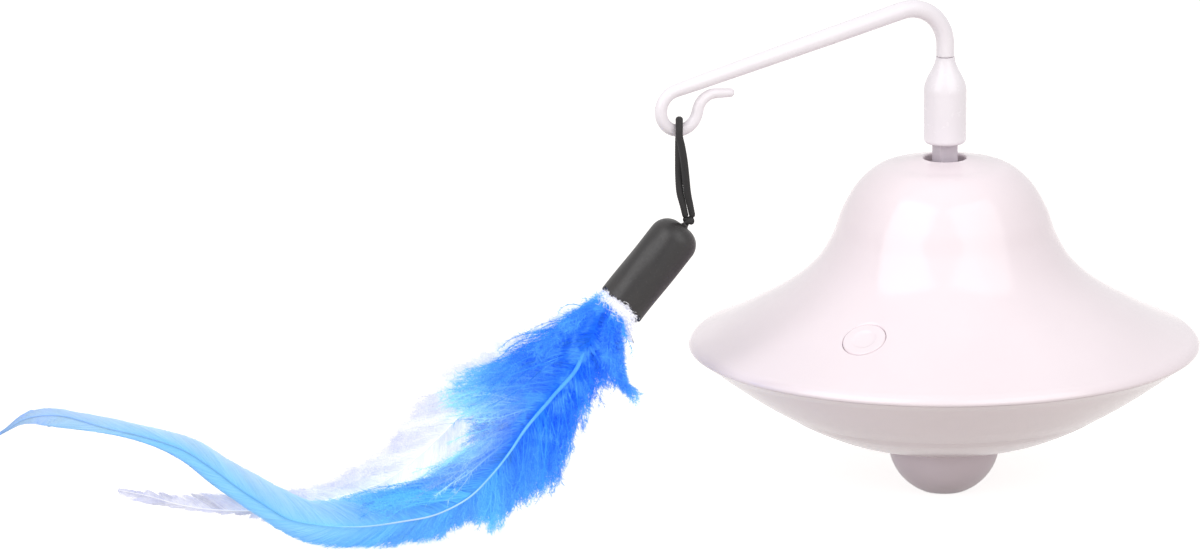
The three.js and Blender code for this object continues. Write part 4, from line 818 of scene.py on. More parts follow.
def make_cap():
    lip = [(CAP_RADIUS, -CAP_LENGTH, 0.35), (CAP_BORE + 0.2, -CAP_LENGTH, 0)]
    outer = rounded([(0.5, 0, 0), (CAP_RADIUS, 0, CAP_DOME)] + lip, steps=24)
    side = outer[:, 1] < -CAP_DOME - 0.01
    start, end = outer[~side], outer[side]
    drop = np.linspace(-CAP_DOME - 0.2, -CAP_LENGTH + 0.5, WALL_RINGS)
    wall = np.stack([np.full(WALL_RINGS, CAP_RADIUS), drop], axis=1)
    roof = -CAP_LENGTH + BORE_DEPTH
    inner = rounded([(CAP_BORE, -CAP_LENGTH, 0), (CAP_BORE, roof, 0.6), (0, roof, 0)])
    profile = np.vstack([smooth(CAP_NECK, 18), start[start[:, 0] > 2.1], wall, end, inner])
    turn = circle(CAP_SEGMENTS)
    wave = sum(a * np.sin(k * turn + p) for k, a, p in MOUTH_WAVES)
    radius, height = profile[:, 0][:, None], profile[:, 1][:, None]
    near_mouth = np.clip((-height - CAP_LENGTH + MOUTH_REACH) / MOUTH_REACH, 0, 1) ** 2
    lumps = 0.05 * np.sin(5 * turn + 0.35 * height) * np.clip(-height / 6, 0, 1) * (radius > CAP_BORE + 0.3)
    swell = radius + lumps
    height = height + near_mouth * (wave + 0.5) * (radius > 1)
    points = placed(round_z(swell, turn, height).reshape(-1, 3), cap_seat)
    mesh = skin("rubber_cap", points, len(profile), CAP_SEGMENTS)
    piece(mesh, "lure", "cap_rubber", ["lure_cap"], sharp=45)


make_cap()


# Feathers. Outlines and quills are (x, z) in the lure's own frame, x out from the knot.
FLOOR_CLEARANCE, LAST_REACH = 0.35, 181.6
# QUILL_GLOW is how strongly the quills take the feathers' painted glow.
QUILL_SIDES, QUILL_GLOW = 8, 0.75
# How far the closed sheet lies behind the barbs, and the widths of a barbule from root to tip
SHEET_BEHIND, BARBULE_WIDTHS = 0.5, (0.085, 0.065, 0.02)


class Strands:
    """Thin ribbons and sheets in one mesh, each point with its tint and its place on the barb."""

    def __init__(self):
        self.points, self.faces, self.tints, self.barbs, self.count = [], [], [], [], 0

    def add(self, points, faces, tints, barbs):
        self.points.append(points.reshape(-1, 3))
        self.faces.append(faces.reshape(-1, 4) + self.count)
        self.tints.append(np.broadcast_to(tints, points.shape).reshape(-1, 3))
        self.barbs.append(np.broadcast_to(barbs, points.shape).reshape(-1, 3))
        self.count += len(self.points[-1])

    def ribbons(self, lines, widths, normals, tints, barbs):
        """Lines, tints and barbs are (strand, step, 3), widths (strand, step) and normals (strand, 3)."""
        strands, steps = lines.shape[:2]
        slope = np.gradient(lines, axis=1)
        side = np.cross(slope, normals[:, None])
        side /= np.maximum(np.linalg.norm(side, axis=2, keepdims=True), 1e-9)
        edge = side * widths[:, :, None] / 2
        pairs = np.stack([lines - edge, lines + edge], axis=2)
        faces = quads(steps, 2)[None] + (np.arange(strands) * steps * 2)[:, None, None]
        barbs = np.broadcast_to(barbs, lines.shape)
        self.add(pairs, faces, *(np.repeat(values[:, :, None], 2, axis=2) for values in (tints, barbs)))

    def quill(self, points, lateral, radius, tints):
        """A thin tube along a quill, from tables of its depth, radius and tint."""
        share = np.linspace(0, 1, len(points))
        path = with_depth(points, table(lateral, share))
        radius = table(radius, share)
        slope = tangents(path)
        across = unit(np.cross(slope, [0.0, 1.0, 0.0]))
        ring = spokes(QUILL_SIDES, across, np.cross(slope, across))
        tube = path[:, None] + radius[:, None, None] * ring
        tint = table(tints, share)
        barb = np.stack([0 * radius, lengths_of(path), 0 * radius + QUILL_GLOW], axis=1)
        self.add(tube, quads(len(path), QUILL_SIDES, False, True), tint[:, None], barb[:, None])

    def mesh(self, name, moved=np.asarray):
        mesh = mesh_from(name, moved(np.vstack(self.points)), np.vstack(self.faces))
        lay_colours(mesh, np.vstack(self.tints), np.vstack(self.barbs))
        return mesh


def over_floor(points):
    """The lure's points in the scene, kept above the floor and within their reach."""
    points[:, 0] = np.minimum(points[:, 0], LAST_REACH)
    points = on_lure(points)
    points[:, 2] = np.maximum(points[:, 2], FLOOR_CLEARANCE)
    return points


def lay_colours(mesh, colours, barbs):
    tint = mesh.attributes.new("tint", "FLOAT_COLOR", "POINT")
    colours = np.hstack([colours, np.ones((len(colours), 1))]).astype(np.float32)
    tint.data.foreach_set("color", colours.ravel())
    barb = mesh.attributes.new("barb", "FLOAT_VECTOR", "POINT")
    barb.data.foreach_set("vector", np.asarray(barbs, np.float32).ravel())


def rgb(*colour):
    return np.array(linear(*colour)[:3])


def ripple(at, waves):
    """A smooth uneven line from about -1 to 1, made of a few waves."""
    phases = random.uniform(0, 2 * math.pi, len(waves))
    total = sum(np.sin(2 * math.pi * wave * at + phase) for wave, phase in zip(waves, phases))
    return total / len(waves) ** 0.7


def reach_to(outline, starts, directions, longest):
    """How far each ray runs before it meets the outline."""
    a, edge = outline[:-1], np.diff(outline, axis=0)
    found = np.array(np.broadcast_to(longest, len(starts)), float)
    for i, (start, direction) in enumerate(zip(starts, directions)):
        to = a - start
        cross = direction[0] * edge[:, 1] - direction[1] * edge[:, 0]
        cross = np.where(abs(cross) < 1e-9, 1e-9, cross)
        along = (to[:, 0] * edge[:, 1] - to[:, 1] * edge[:, 0]) / cross
        share = (to[:, 0] * direction[1] - to[:, 1] * direction[0]) / cross
        hits = along[(along > 0.2) & (share >= 0) & (share <= 1)]
        if len(hits):
            found[i] = min(hits.min(), found[i])
    return found


def turn_by(slope, angle):
    c, s = np.cos(angle), np.sin(angle)
    return np.stack([slope[:, 0] * c - slope[:, 1] * s, slope[:, 0] * s + slope[:, 1] * c], axis=1)


def sided(spec, name, side):
    """A feather's values for one side, where they come as a pair of upper and lower."""
    return spec[name][0 if side > 0 else 1]


def rays(spec, side, t, scatter):
    """Where barbs at shares t of the quill start, head and end, their headings scattered at random."""
    quill = spec["quill"]
    place = t * (len(quill) - 1)
    index = np.arange(len(quill))
    start = sampled(place, index, quill)
    slope = sampled(place, index, tangents(quill))
    lean = np.radians(table(spec["lean"], t)) * side + np.radians(table(spec["scatter"], t)) * scatter
    heading = turn_by(slope, lean)
    outline = smooth(sided(spec, "outline", side), 400)
    reach = reach_to(outline, start, heading, table(spec["longest"], t))
    end = start + heading * reach[:, None]
    swept_end = along_quill(quill, outline, side, t, np.maximum(abs(lean), 0.1))
    share = np.clip((t - spec["swept"][0]) / (spec["swept"][1] - spec["swept"][0]), 0, 1)[:, None]
    share = share**2 * (3 - 2 * share)
    way = end * (1 - share) + swept_end * share - start
    reach = np.maximum(np.linalg.norm(way, axis=1), 1e-3)
    heading = way / reach[:, None]
    return start, heading, turn_by(heading, 0.35 * lean), reach


def along_quill(quill, outline, side, t, lean):
    """Where barbs end that keep their angle to a curving quill: on the outline, further along."""
    away = normals_of(quill) * side
    width = reach_to(outline, quill, away, math.inf)
    width[np.isinf(width)] = 0.3
    width = blurred(width, 4)
    last = len(quill) - 1
    index, place = np.arange(last + 1), t * last
    step = lengths_of(quill)[-1] / last
    further = place
    for _ in range(4):
        further = np.minimum(place + np.interp(further, index, width) / np.tan(lean) / step, last)
    return sampled(further, index, quill + away * width[:, None])


def bent(start, middle, end, steps):
    """Curves from start to end, drawn towards middle."""
    share = np.linspace(0, 1, steps)[None, :, None]
    curve = start[:, None] * (1 - share) ** 2 + 2 * middle[:, None] * share * (1 - share)
    return curve + end[:, None] * share**2


def tints_of(spec, side, t, steps, extent):
    """Colours along barbs, from the core's by the quill to the edge's at the barb's full extent."""
    share = np.linspace(0, 1, steps)[None, :, None] * np.reshape(extent, (-1, 1, 1))
    mixing = share ** table(sided(spec, "fade", side), t)[:, None, None]
    edge = table(sided(spec, "edge", side), t)
    return table(spec["core"], t)[:, None] * (1 - mixing) + edge[:, None] * mixing


def barb_places(spec, t, reach, steps, extra=0.0):
    """Where points lie: how far along the quill and along the barb, and how much painted glow they get."""
    along = t * lengths_of(spec["quill"])[-1]
    share = np.linspace(0, 1, steps)
    glow = np.repeat(table(spec["glow"], t)[:, None], steps, 1)
    return np.stack([np.repeat(along[:, None] + extra, steps, 1), reach[:, None] * share[None], glow], axis=2)


def sheet(out, spec, side, rows=420, columns=14):
    """The closed part of a vane: a thin cupped sheet from the quill nearly out to the outline."""
    t = np.linspace(0.0, 1.0, rows)
    start, heading, opened, reach = rays(spec, side, t, 0.0)
    reach = blurred(reach, 6)
    ragged = table(spec["ragged"], t)
    cover = table(sided(spec, "cover", side), t)
    reach = reach * cover * (1 + ragged * ripple(t, (11, 23, 41, 83)))
    lateral = table(spec["lateral"], t) - SHEET_BEHIND
    cup = table(spec["depth"], t) * reach * 0.35
    lines = bent(
        with_depth(start, lateral),
        with_depth(start + opened * reach[:, None] * 0.5, lateral + cup * (0.6 + 0.1 * ripple(t, (7, 19)))),
        with_depth(start + heading * reach[:, None], lateral - 0.6 * cup),
        columns,
    )
    tints = tints_of(spec, side, t, columns, cover)
    out.add(lines, quads(rows, columns), tints, barb_places(spec, t, reach, columns))


def vane(out, spec, side, count, per_mm):
    """One side of a feather: barbs from the quill to the outline, gathered in clumps, and their barbules."""
    t = np.sort(np.clip(np.linspace(0.0, 1.0, count) + random.normal(0, 0.6 / count, count), 0.0, 1.0))
    start, heading, opened, reach = rays(spec, side, t, random.normal(0, 1, count))
    ragged = table(spec["ragged"], t)
    clump = np.floor(t * spec["clumps"] + random.normal(0, 0.25, count)).astype(int)
    clump = np.clip(clump, 0, spec["clumps"])
    clump_length = random.uniform(-1, 1, spec["clumps"] + 1)[clump]
    extent = 1 - table(sided(spec, "thin", side), t) * random.random(count)
    reach = reach * extent * (1 + ragged * (0.5 * clump_length - 0.35 * random.random(count) ** 2))
    spread = random.normal(0, 0.55, spec["clumps"] + 1)[clump] + random.normal(0, 0.45, count)
    depth = table(spec["depth"], t) * spread
    middle = start + opened * reach[:, None] * 0.5
    end = start + heading * reach[:, None]
    tie = table(spec["tie"], t)[:, None]
    for index in np.unique(clump):
        group = clump == index
        end[group] += (end[group].mean(axis=0) - end[group]) * tie[group]
        middle[group] += (middle[group].mean(axis=0) - middle[group]) * tie[group] * 0.4
    lateral = table(spec["lateral"], t)
    steps = spec["steps"]
    share = np.linspace(0, 1, steps)[None, :, None]
    lines = bent(
        with_depth(start, lateral),
        with_depth(middle, lateral + 0.5 * depth * reach),
        with_depth(end, lateral + depth * reach),
        steps,
    )
    fluff = table(spec["fluff"], t)[:, None, None]
    phase = random.uniform(0, 2 * math.pi, (count, 1, 3))
    wave = np.sin(phase + share * random.uniform(4, 9, (count, 1, 3))) * share
    lines = lines + wave * fluff * np.array([1, 0.8, 1])
    widths = table(spec["width"], t)[:, None] * np.clip(1.15 - share[..., 0] ** 2, 0.12, 1)
    normals = barb_normals(count, spec["twist"])
    tone = 1 + 0.16 * random.normal(0, 1, spec["clumps"] + 1)[clump] + 0.1 * random.normal(0, 1, count)
    tints = tints_of(spec, side, t, steps, extent)
    tone = np.clip(tone, 0.6, 1.45) ** table(spec["tone"], t)
    tints = np.clip(tints * tone[:, None, None], 0, 1)
    places = barb_places(spec, t, reach, steps, random.uniform(0, 40, (count, 1)))
    out.ribbons(lines, widths, normals, tints, places)
    downy(out, spec, t, lines, tints, per_mm)


def barb_normals(count, twist):
    """Which way ribbons face: towards the viewer, twisted at random."""
    return unit(np.array([0.0, -1.0, 0.0]) + random.normal(0, twist, (count, 3)))


def downy(out, spec, t, lines, tints, per_mm):
    """Barbules along the barbs of the fluffy part, finer than a hair and pointing everywhere."""
    lengths = np.linalg.norm(np.diff(lines, axis=1), axis=2).sum(axis=1)
    strand = np.repeat(np.arange(len(t)), (lengths * per_mm * table(spec["down"], t)).astype(int))
    count, last = len(strand), lines.shape[1] - 1
    share = random.uniform(0.12, 1, count) ** 0.7 * last
    low = np.minimum(share.astype(int), last - 1)
    part = (share - low)[:, None]
    start = lines[strand, low] * (1 - part) + lines[strand, low + 1] * part
    tint = tints[strand, low] * (1 - part) + tints[strand, low + 1] * part
    along = unit(lines[strand, low + 1] - lines[strand, low])
    away = random.normal(0, 1, (count, 3)) * np.array([1.0, 0.5, 1.0])
    away = unit(away - (away * along).sum(axis=1, keepdims=True) * along)
    heading = away * 0.7 + along * random.uniform(0.4, 1.2, (count, 1))
    length = random.uniform(0.5, 1.0, count) * table(spec["barbule"], t)[strand]
    step = np.linspace(0, 1, 3)[None, :, None]
    bend = random.normal(0, 0.3, (count, 1, 3))
    path = start[:, None] + (heading[:, None] * step + bend * step**2) * length[:, None, None]
    widths = np.array([BARBULE_WIDTHS]) * np.ones((count, 1))
    normals = barb_normals(count, 0.3)
    outer = (share / last)[:, None, None] ** 2
    fade = (0.05 + 0.45 * step * random.random((count, 1, 1))) * outer
    barbs = random.uniform(0, 40, (count, 1, 3))
    barbs[:, 0, 2] = table(spec["glow"], t)[strand]
    out.ribbons(path, widths, normals, tint[:, None] * (1 - fade) + spec["pale"] * fade, barbs)


BLUE_QUILL = [
    (20.4, 58.6), (21.7, 56.9), (25.9, 47.9), (29.9, 40.9), (36.3, 34.8), (43.1, 27.7), (47.7, 21.5),
    (52.3, 16.3), (58, 11.3), (66.6, 7.7), (75.2, 6.7), (86.6, 6.3), (97.2, 7.7), (104.9, 9.9),
    (111.3, 14.1), (117.7, 18.7), (124.1, 23.9), (131.8, 29.4), (140.8, 33.3), (152.7, 37.1), (163.2, 40.8),
    (168.9, 41.4), (173.7, 40.7), (177.9, 38.5), (181.3, 36.8),
]
BLUE_UPPER = [
    (21.5, 59.5), (23.1, 58.6), (26, 57.2), (30.5, 55.6), (38, 54.3), (41.4, 51.8), (43.7, 49.8),
    (46.6, 46.7), (52.3, 44.6), (60.9, 44.1), (65.8, 41.6), (67.6, 33.4), (61.8, 30.8), (56.6, 28.9),
    (57.6, 25.6), (60.5, 22), (67.8, 18.3), (72, 15.5), (81.4, 14.4), (99.1, 14), (105.6, 17.3),
    (113.9, 22.4), (120.3, 26.3), (127.3, 31.2), (134.3, 34.3), (142, 36.5), (149.7, 39), (162.5, 42.2),
    (168, 43.4), (174.1, 41.7), (177.9, 38.9), (181.4, 36.8),
]
BLUE_LOWER = [
    (19.6, 57.5), (17.6, 49.7), (16.9, 40.3), (14.6, 33.6), (19.4, 34.0), (24.8, 35), (25.4, 30),
    (29.4, 22.6), (32.2, 19.6), (34.5, 12.6), (38, 9.1), (45.4, 4.8), (50.6, 1), (54, 2.6), (58.6, 4.3),
    (62.6, 3), (69.5, 0.6), (78.1, 0.5), (86.6, 0.5), (92.1, 1.1), (100.4, 3), (107.5, 7.1), (113.9, 11.9),
    (120.3, 16.8), (125.4, 20.6), (130.5, 25.3), (136.9, 29.6), (143.3, 32.6), (151, 35.1), (162.5, 37.6),
    (173.7, 39.5), (177.9, 38), (181.4, 36.8),
]
DEEP, MID, SKY = rgb(34, 127, 247), rgb(58, 147, 253), rgb(98, 186, 254)
PALE, ICE, SLATE = rgb(140, 214, 254), rgb(216, 236, 249), rgb(146, 182, 224)
# Tables run along the quill, from 0 at its root to 1 at its tip; pairs are for the upper and lower side.
# longest, swept, lean and scatter aim the barbs; cover, thin and ragged give their reach; tie, fluff, depth,
# width, twist and clumps how they lie; down and barbule their barbules; core to edge, by fade, their colours.
# glow weights the painted glow along the quill: an emission that brightens the barbs as if they were lit
# more.
BLUE_SPEC = dict(
    quill=smooth(BLUE_QUILL, 400),
    outline=(BLUE_UPPER, BLUE_LOWER),
    longest=[(0, 34), (0.4, 34), (0.6, 24), (0.85, 13), (0.95, 6), (1, 2)],
    swept=(0.36, 0.48),
    lean=[(0, 62), (0.1, 52), (0.2, 42), (0.4, 33), (0.55, 22), (0.75, 13), (1, 10)],
    scatter=[(0, 13), (0.2, 10), (0.35, 6), (0.45, 2.5), (0.55, 1.0), (1, 0.6)],
    ragged=[(0, 0.26), (0.3, 0.22), (0.45, 0.08), (0.6, 0.03), (1, 0.02)],
    cover=(
        [(0, 0.6), (0.05, 0.5), (0.12, 0.42), (0.26, 0.45), (0.36, 0.85), (0.6, 0.97)],
        [(0, 0.6), (0.2, 0.7), (0.36, 0.85), (0.6, 0.97)],
    ),
    thin=(
        [(0, 0.5), (0.1, 0.5), (0.27, 0.46), (0.36, 0.2), (0.5, 0.03), (1, 0.02)],
        [(0, 0.4), (0.25, 0.3), (0.4, 0.12), (0.5, 0.04), (1, 0.02)],
    ),
    tie=[(0, 0.5), (0.35, 0.4), (0.5, 0.1), (0.6, 0.02), (1, 0.0)],
    fluff=[(0, 1.2), (0.3, 0.9), (0.42, 0.25), (0.5, 0.05), (1, 0.02)],
    depth=[(0, 0.22), (0.3, 0.16), (0.45, 0.06), (0.55, 0.02), (1, 0.01)],
    width=[(0, 0.22), (0.3, 0.24), (0.5, 0.2), (0.7, 0.16), (1, 0.12)],
    fade=(
        [(0, 1.1), (0.1, 1.0), (0.27, 0.8), (0.36, 0.9), (0.5, 1.2), (0.6, 1.6)],
        [(0, 1.2), (0.15, 1.0), (0.25, 0.75), (0.4, 0.9), (0.52, 2.5), (0.6, 7)],
    ),
    down=[(0, 1.0), (0.3, 0.9), (0.4, 0.3), (0.46, 0.0)],
    barbule=[(0, 1.6), (0.3, 1.5), (0.5, 0.8), (1, 0.5)],
    core=[
        (0, MID), (0.05, DEEP), (0.17, DEEP), (0.24, MID), (0.3, SKY), (0.4, rgb(120, 200, 252)),
        (0.5, rgb(152, 217, 252)), (0.75, rgb(148, 216, 252)), (0.84, rgb(176, 220, 248)),
        (0.93, rgb(184, 216, 244)), (1, SLATE),
    ],
    edge=(
        [
            (0, SKY), (0.06, MID), (0.09, SKY), (0.13, PALE), (0.17, rgb(186, 230, 254)),
            (0.24, rgb(186, 230, 254)), (0.3, SKY), (0.36, rgb(128, 204, 252)), (0.47, rgb(192, 228, 250)),
            (0.58, ICE), (0.76, ICE), (0.86, rgb(206, 228, 248)), (1, SLATE),
        ],
        [
            (0, SKY), (0.05, MID), (0.12, MID), (0.19, SKY), (0.27, rgb(114, 196, 254)),
            (0.44, rgb(128, 200, 252)), (0.55, rgb(156, 206, 242)), (0.7, SLATE),
            (0.82, rgb(108, 172, 230)), (0.9, rgb(194, 220, 246)), (1, SLATE),
        ],
    ),
    glow=[(0, 1.0), (0.28, 1.0), (0.42, 0.9), (0.6, 0.8)],
    pale=PALE,
    twist=0.14,
    tone=[(0, 0.8), (0.35, 0.6), (0.45, 0.12), (1, 0.08)],
    lateral=0,
    clumps=74,
    steps=9,
)


def make_feather(name, slot, spec, layers, lateral, radius, tints):
    """layers are the sheets and vanes in the order that they are drawn in; the tables are the quill's."""
    out = Strands()
    for build, side, *numbers in layers:
        build(out, spec, side, *numbers)
    out.quill(spec["quill"], lateral, radius, tints)
    piece(out.mesh(name + "_barbs", over_floor), "lure", slot, [name], sharp=180)


make_feather(
    "blue_feather",
    "feather_blue",
    BLUE_SPEC,
    [(sheet, 1), (vane, 1, 3000, 3.0), (sheet, -1), (vane, -1, 3000, 3.0)],
    [(0, -1.6), (0.06, -1.6), (0.1, 0.6), (0.16, 1.6), (0.45, 0.8), (0.6, 0.3), (1, 0.1)],
    [(0, 0.55), (0.1, 0.55), (0.18, 0.42), (0.27, 0.24), (0.45, 0.2), (0.6, 0.18), (1, 0.1)],
    [
        (0, SKY), (0.15, SKY), (0.25, PALE), (0.4, ICE), (0.5, PALE), (0.6, rgb(122, 196, 248)),
        (0.85, rgb(150, 194, 238)), (1, SLATE),
    ],
)

WHITE_QUILL = [
    (20.5, 57.5), (22, 53.9), (37.8, 45.6), (53.7, 34.2), (64.2, 25), (76.2, 16.5), (84.2, 13.9),
    (88.9, 13), (97.9, 11.6), (112.6, 11.5), (124.1, 12.9), (131.8, 14.8), (139.5, 17.6), (147.2, 19.8),
]
WHITE_UPPER = [
    (22.3, 58.1), (32.5, 54.5), (43.1, 50), (53.7, 46), (60.7, 42), (66.3, 38), (73.1, 33.6), (77.6, 27.4),
    (79.8, 23.1), (86.4, 20.1), (90.8, 17.2), (99.2, 16), (111.8, 15.8), (124.1, 17.4), (131.8, 18.2),
    (140.7, 19.6), (150, 20.4),
]
WHITE_LOWER = [
    (18.4, 52.8), (24, 40.6), (33.5, 30.4), (44.1, 21.1), (54.7, 12.8), (66.9, 6.9), (85.4, 6.4),
    (101.2, 6.8), (110, 8), (116.4, 10.3), (125.4, 11.9), (135.6, 14.2), (144.6, 16.9), (149.7, 19.2),
]
SNOW, LILAC, GREY = rgb(246, 247, 253), rgb(226, 228, 243), rgb(206, 209, 230)
WHITE_SPEC = dict(
    quill=smooth(WHITE_QUILL, 300),
    outline=(WHITE_UPPER, WHITE_LOWER),
    longest=[(0, 24), (0.5, 24), (0.8, 12), (1, 4)],
    swept=(0.5, 0.7),
    cover=(
        [(0, 0.6), (0.4, 0.62), (0.7, 0.7), (0.85, 0.5), (1, 0.4)],
        [(0, 0.75), (0.4, 0.8), (0.7, 0.75), (0.85, 0.55), (1, 0.4)],
    ),
    thin=(
        [(0, 0.5), (0.5, 0.45), (0.7, 0.25), (0.9, 0.35), (1, 0.6)],
        [(0, 0.3), (0.5, 0.3), (0.7, 0.2), (0.9, 0.35), (1, 0.6)],
    ),
    lean=[(0, 50), (0.2, 42), (0.4, 34), (0.6, 24), (1, 12)],
    scatter=[(0, 10), (0.4, 7), (0.7, 3), (1, 2.5)],
    ragged=[(0, 0.3), (0.45, 0.26), (0.7, 0.25), (0.9, 0.4), (1, 0.6)],
    tie=[(0, 0.5), (0.4, 0.5), (0.7, 0.6), (1, 0.7)],
    fluff=[(0, 0.9), (0.4, 0.7), (0.6, 0.3), (1, 0.1)],
    depth=[(0, 0.1), (0.4, 0.1), (0.7, 0.05), (1, 0.03)],
    width=[(0, 0.2), (0.7, 0.2), (1, 0.16)],
    fade=(1.0, 1.0),
    down=[(0, 0.6), (0.3, 1.0), (0.5, 0.7), (0.65, 0.2), (0.75, 0.0)],
    barbule=[(0, 2.0), (0.5, 1.6), (1, 0.6)],
    core=[(0, SNOW), (0.5, SNOW), (0.7, LILAC), (1, GREY)],
    edge=([(0, SNOW), (0.4, LILAC), (0.7, LILAC), (1, GREY)], [(0, SNOW), (0.4, SNOW), (0.7, LILAC)]),
    # Painted glow: an emission that brightens the barbs as if they were lit more.
    glow=[(0, 0.75), (0.6, 0.7), (0.8, 0.7), (1, 0.75)],
    pale=SNOW,
    twist=0.16,
    tone=0.3,
    lateral=[(0, -3.0), (0.2, -5.5), (0.6, -5.5), (1, -4.4)],
    clumps=34,
    steps=8,
)


make_feather(
    "white_feather",
    "feather_white",
    WHITE_SPEC,
    [(sheet, 1), (sheet, -1), (vane, 1, 1500, 2.6), (vane, -1, 1300, 2.0)],
    [(0, -2.4), (0.2, -5.2), (1, -4.0)],
    [(0, 0.55), (0.2, 0.3), (0.5, 0.14), (0.8, 0.14), (1, 0.06)],
    [(0, SNOW)],
)

# The short feather differs from the blue one in what is given here. Its barbs never sweep along the quill.
SHORT_SPEC = dict(
    BLUE_SPEC,
    quill=smooth([(20.6, 55), (20, 48), (18.8, 41), (17.2, 35.6)], 100),
    outline=(
        [(23.5, 56.5), (24.5, 47), (24, 41), (20.5, 36), (16.2, 32.6)],
        [(19.2, 56.5), (18.9, 49), (18.2, 41), (17.3, 36), (15.8, 33.4)],
    ),
    # Painted glow: an emission that brightens the barbs as if they were lit more.
    glow=1.0,
    swept=(2, 3),
    longest=9,
    cover=([(0, 0.6), (0.5, 0.4), (1, 0.1)],) * 2,
    thin=([(0, 0.4), (0.6, 0.5), (0.85, 0.85), (1, 0.93)],) * 2,
    twist=0.2,
    tone=0.6,
    lean=[(0, 32), (1, 16)],
    scatter=[(0, 14), (1, 9)],
    ragged=[(0, 0.3), (1, 0.5)],
    tie=[(0, 0.45), (1, 0.3)],
    fluff=[(0, 0.8), (1, 0.7)],
    depth=[(0, 0.25), (1, 0.2)],
    width=[(0, 0.26), (0.7, 0.2), (1, 0.12)],
    down=1.0,
    barbule=[(0, 1.3), (1, 1.0)],
    core=[(0, DEEP), (0.6, DEEP), (1, MID)],
    edge=([(0, MID), (1, SKY)], [(0, MID), (1, PALE)]),
    fade=(1.0, 1.0),
    lateral=[(0, 2.0), (1, 2.6)],
    clumps=9,
    steps=7,
)


make_feather(
    "short_feather",
    "feather_blue",
    SHORT_SPEC,
    [(sheet, 1, 80, 8), (vane, 1, 380, 4.0), (sheet, -1, 80, 8), (vane, -1, 380, 4.0)],
    [(0, 1.8), (1, 2.4)],
    [(0, 0.3), (1, 0.1)],
    [(0, DEEP), (1, SKY)],
)

# The binding's wound core as rings of (height, radius) from the cap's crown, and its loose fibres
CORE_RINGS = [
    (-19.5, 0), (-19.5, 3.9), (-21, 4.1), (-23, 4.2), (-25, 4.1), (-26, 3.6), (-26.6, 2.4), (-26.8, 0),
]
# CORE_GLOW and FIBRE_GLOW weight a painted glow: the white tuft gives off light of its own, so it looks
# brighter than the lamps make it.
CORE_SIDES, CORE_GLOW = 48, 0.5
FIBRES, FIBRE_STEPS, FIBRE_REACH, FIBRE_HEIGHT, FIBRE_WIDTH, FIBRE_GLOW = 620, 18, 5.1, -25.3, 0.15, 0.9


def make_binding():
    """The white tuft in the cap's mouth: a wound core and loose curled fibres round it."""
    turn = np.linspace(0, 2 * math.pi, CORE_SIDES, endpoint=False)
    rings = []
    for height, radius in CORE_RINGS:
        lumps = 1 + 0.07 * np.sin(5 * turn + height) + 0.05 * np.sin(9 * turn - 2 * height)
        rings.append(round_z(radius * lumps, turn, height))
    points = placed(np.vstack(rings), cap_seat)
    core = skin("feather_binding_core", points, len(rings), CORE_SIDES)
    many = len(core.vertices)
    lay_colours(core, np.tile(SNOW, (many, 1)), np.tile([0, 0, CORE_GLOW], (many, 1)))
    piece(core, "lure", "feather_white", ["feather_binding"], sharp=60)
    out = Strands()
    angle = random.uniform(0, 2 * math.pi, FIBRES)
    radius = FIBRE_REACH * np.sqrt(random.uniform(0.3, 1, FIBRES))
    height = FIBRE_HEIGHT + random.uniform(-0.5, 1.0, FIBRES)
    start = round_z(radius, angle, height)
    heading = unit(round_z(0.6, angle, -1.0) + random.normal(0, 0.5, (FIBRES, 3)))
    length = random.uniform(0.8, 3.6, FIBRES)
    share = np.linspace(0, 1, FIBRE_STEPS)[None, :, None]
    phase = random.uniform(0, 2 * math.pi, (FIBRES, 1, 3))
    curl = np.sin(phase + share * random.uniform(5, 13, (FIBRES, 1, 3))) - np.sin(phase)
    lines = start[:, None] + heading[:, None] * share * length[:, None, None] + curl * 0.55
    widths = FIBRE_WIDTH * np.clip(1.1 - share[..., 0], 0.3, 1) * np.ones((FIBRES, 1))
    normals = unit(random.normal(0, 1, (FIBRES, 3)))
    shadow = np.where(random.random(FIBRES) < 0.14, 0.62, 1.0)[:, None, None]
    tints = np.ones((FIBRES, FIBRE_STEPS, 3)) * rgb(249, 249, 254) * shadow
    world = placed(lines.reshape(-1, 3), cap_seat).reshape(lines.shape)
    facing = placed(normals, cap_seat.to_3x3().to_4x4())
    out.ribbons(world, widths, facing, tints, np.array([0.0, 0.0, FIBRE_GLOW]))
    piece(out.mesh("feather_binding_fluff"), "lure", "feather_white", [], sharp=180)


make_binding()

# Light: a pale floor, two tall soft boxes and a soft sky. What is seen or mirrored of the sky is plain white.
LAMP_TARGET, LAMP_DISTANCE = Vector((0, 0, 0.05)), 1.3
LAMP_RISE, LAMP_HEIGHT = math.radians(35), 1.3
SKY_STRENGTH = 0.47
FLOOR_HALF, FLOOR_DROP, FLOOR_GLOW = 12000.0, 0.02, 0.8


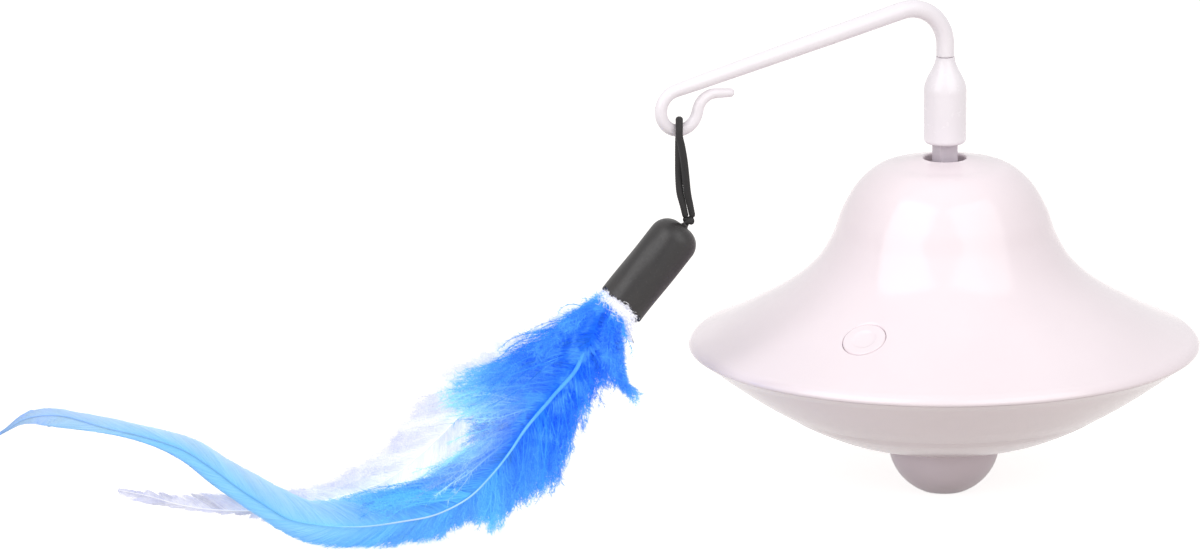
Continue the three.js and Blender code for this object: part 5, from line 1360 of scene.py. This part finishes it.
def softbox(name, bearing, width, power):
    data = bpy.data.lights.new(name, "AREA")
    data.shape = "RECTANGLE"
    data.size, data.size_y = width, LAMP_HEIGHT
    data.energy = power
    bearing = math.radians(bearing)
    level = math.cos(LAMP_RISE)
    away = Vector((math.sin(bearing) * level, -math.cos(bearing) * level, math.sin(LAMP_RISE)))
    stand_off(new_object(name, data), LAMP_TARGET, away, LAMP_DISTANCE)


softbox("soft_box_left", bearing=-48, width=1.05, power=8.5)
softbox("soft_box_right", bearing=44, width=1.15, power=6.9)


def make_world():
    world = bpy.data.worlds.new("world")
    bpy.context.scene.world = world
    world.use_nodes = True
    nodes = Nodes(world.node_tree)
    nodes.tree.nodes.clear()
    seen = nodes.any_ray("Is Camera Ray", "Is Glossy Ray", "Is Transmission Ray")
    soft = nodes.add("ShaderNodeBackground", Color=(1, 0.985, 0.995, 1), Strength=SKY_STRENGTH)
    plain = nodes.add("ShaderNodeBackground", Color=(1, 1, 1, 1), Strength=1.0)
    mix = nodes.joined("ShaderNodeMixShader", {}, seen, soft.outputs[0], plain.outputs[0])
    nodes.add("ShaderNodeOutputWorld", Surface=mix)


def make_floor():
    signs = ((-1, -1), (1, -1), (1, 1), (-1, 1))
    corners = [(x * FLOOR_HALF, y * FLOOR_HALF, -FLOOR_DROP) for x, y in signs]
    mesh = mesh_from("floor", corners, np.array([[0, 1, 2, 3]]))
    look = Look("pale_floor", Roughness=0.9, Specular_IOR_Level=0.0, Emission_Color=(1, 1, 1, 1))
    grain = look.ranged(look.noise(25.0, 3.0), 0.0, 1.0)
    look.to("Base Color", look.mixed(grain, linear(197, 192, 187), linear(194, 189, 184)))
    seen = look.any_ray("Is Camera Ray", "Is Glossy Ray")
    look.to("Emission Strength", look.joined("ShaderNodeMath", {"operation": "MULTIPLY"}, seen, FLOOR_GLOW))
    mesh.materials.append(look.material)
    floor = new_object("floor", mesh)


make_world()
make_floor()
bpy.context.scene.view_settings.view_transform = "Standard"

bpy.context.view_layer.update()
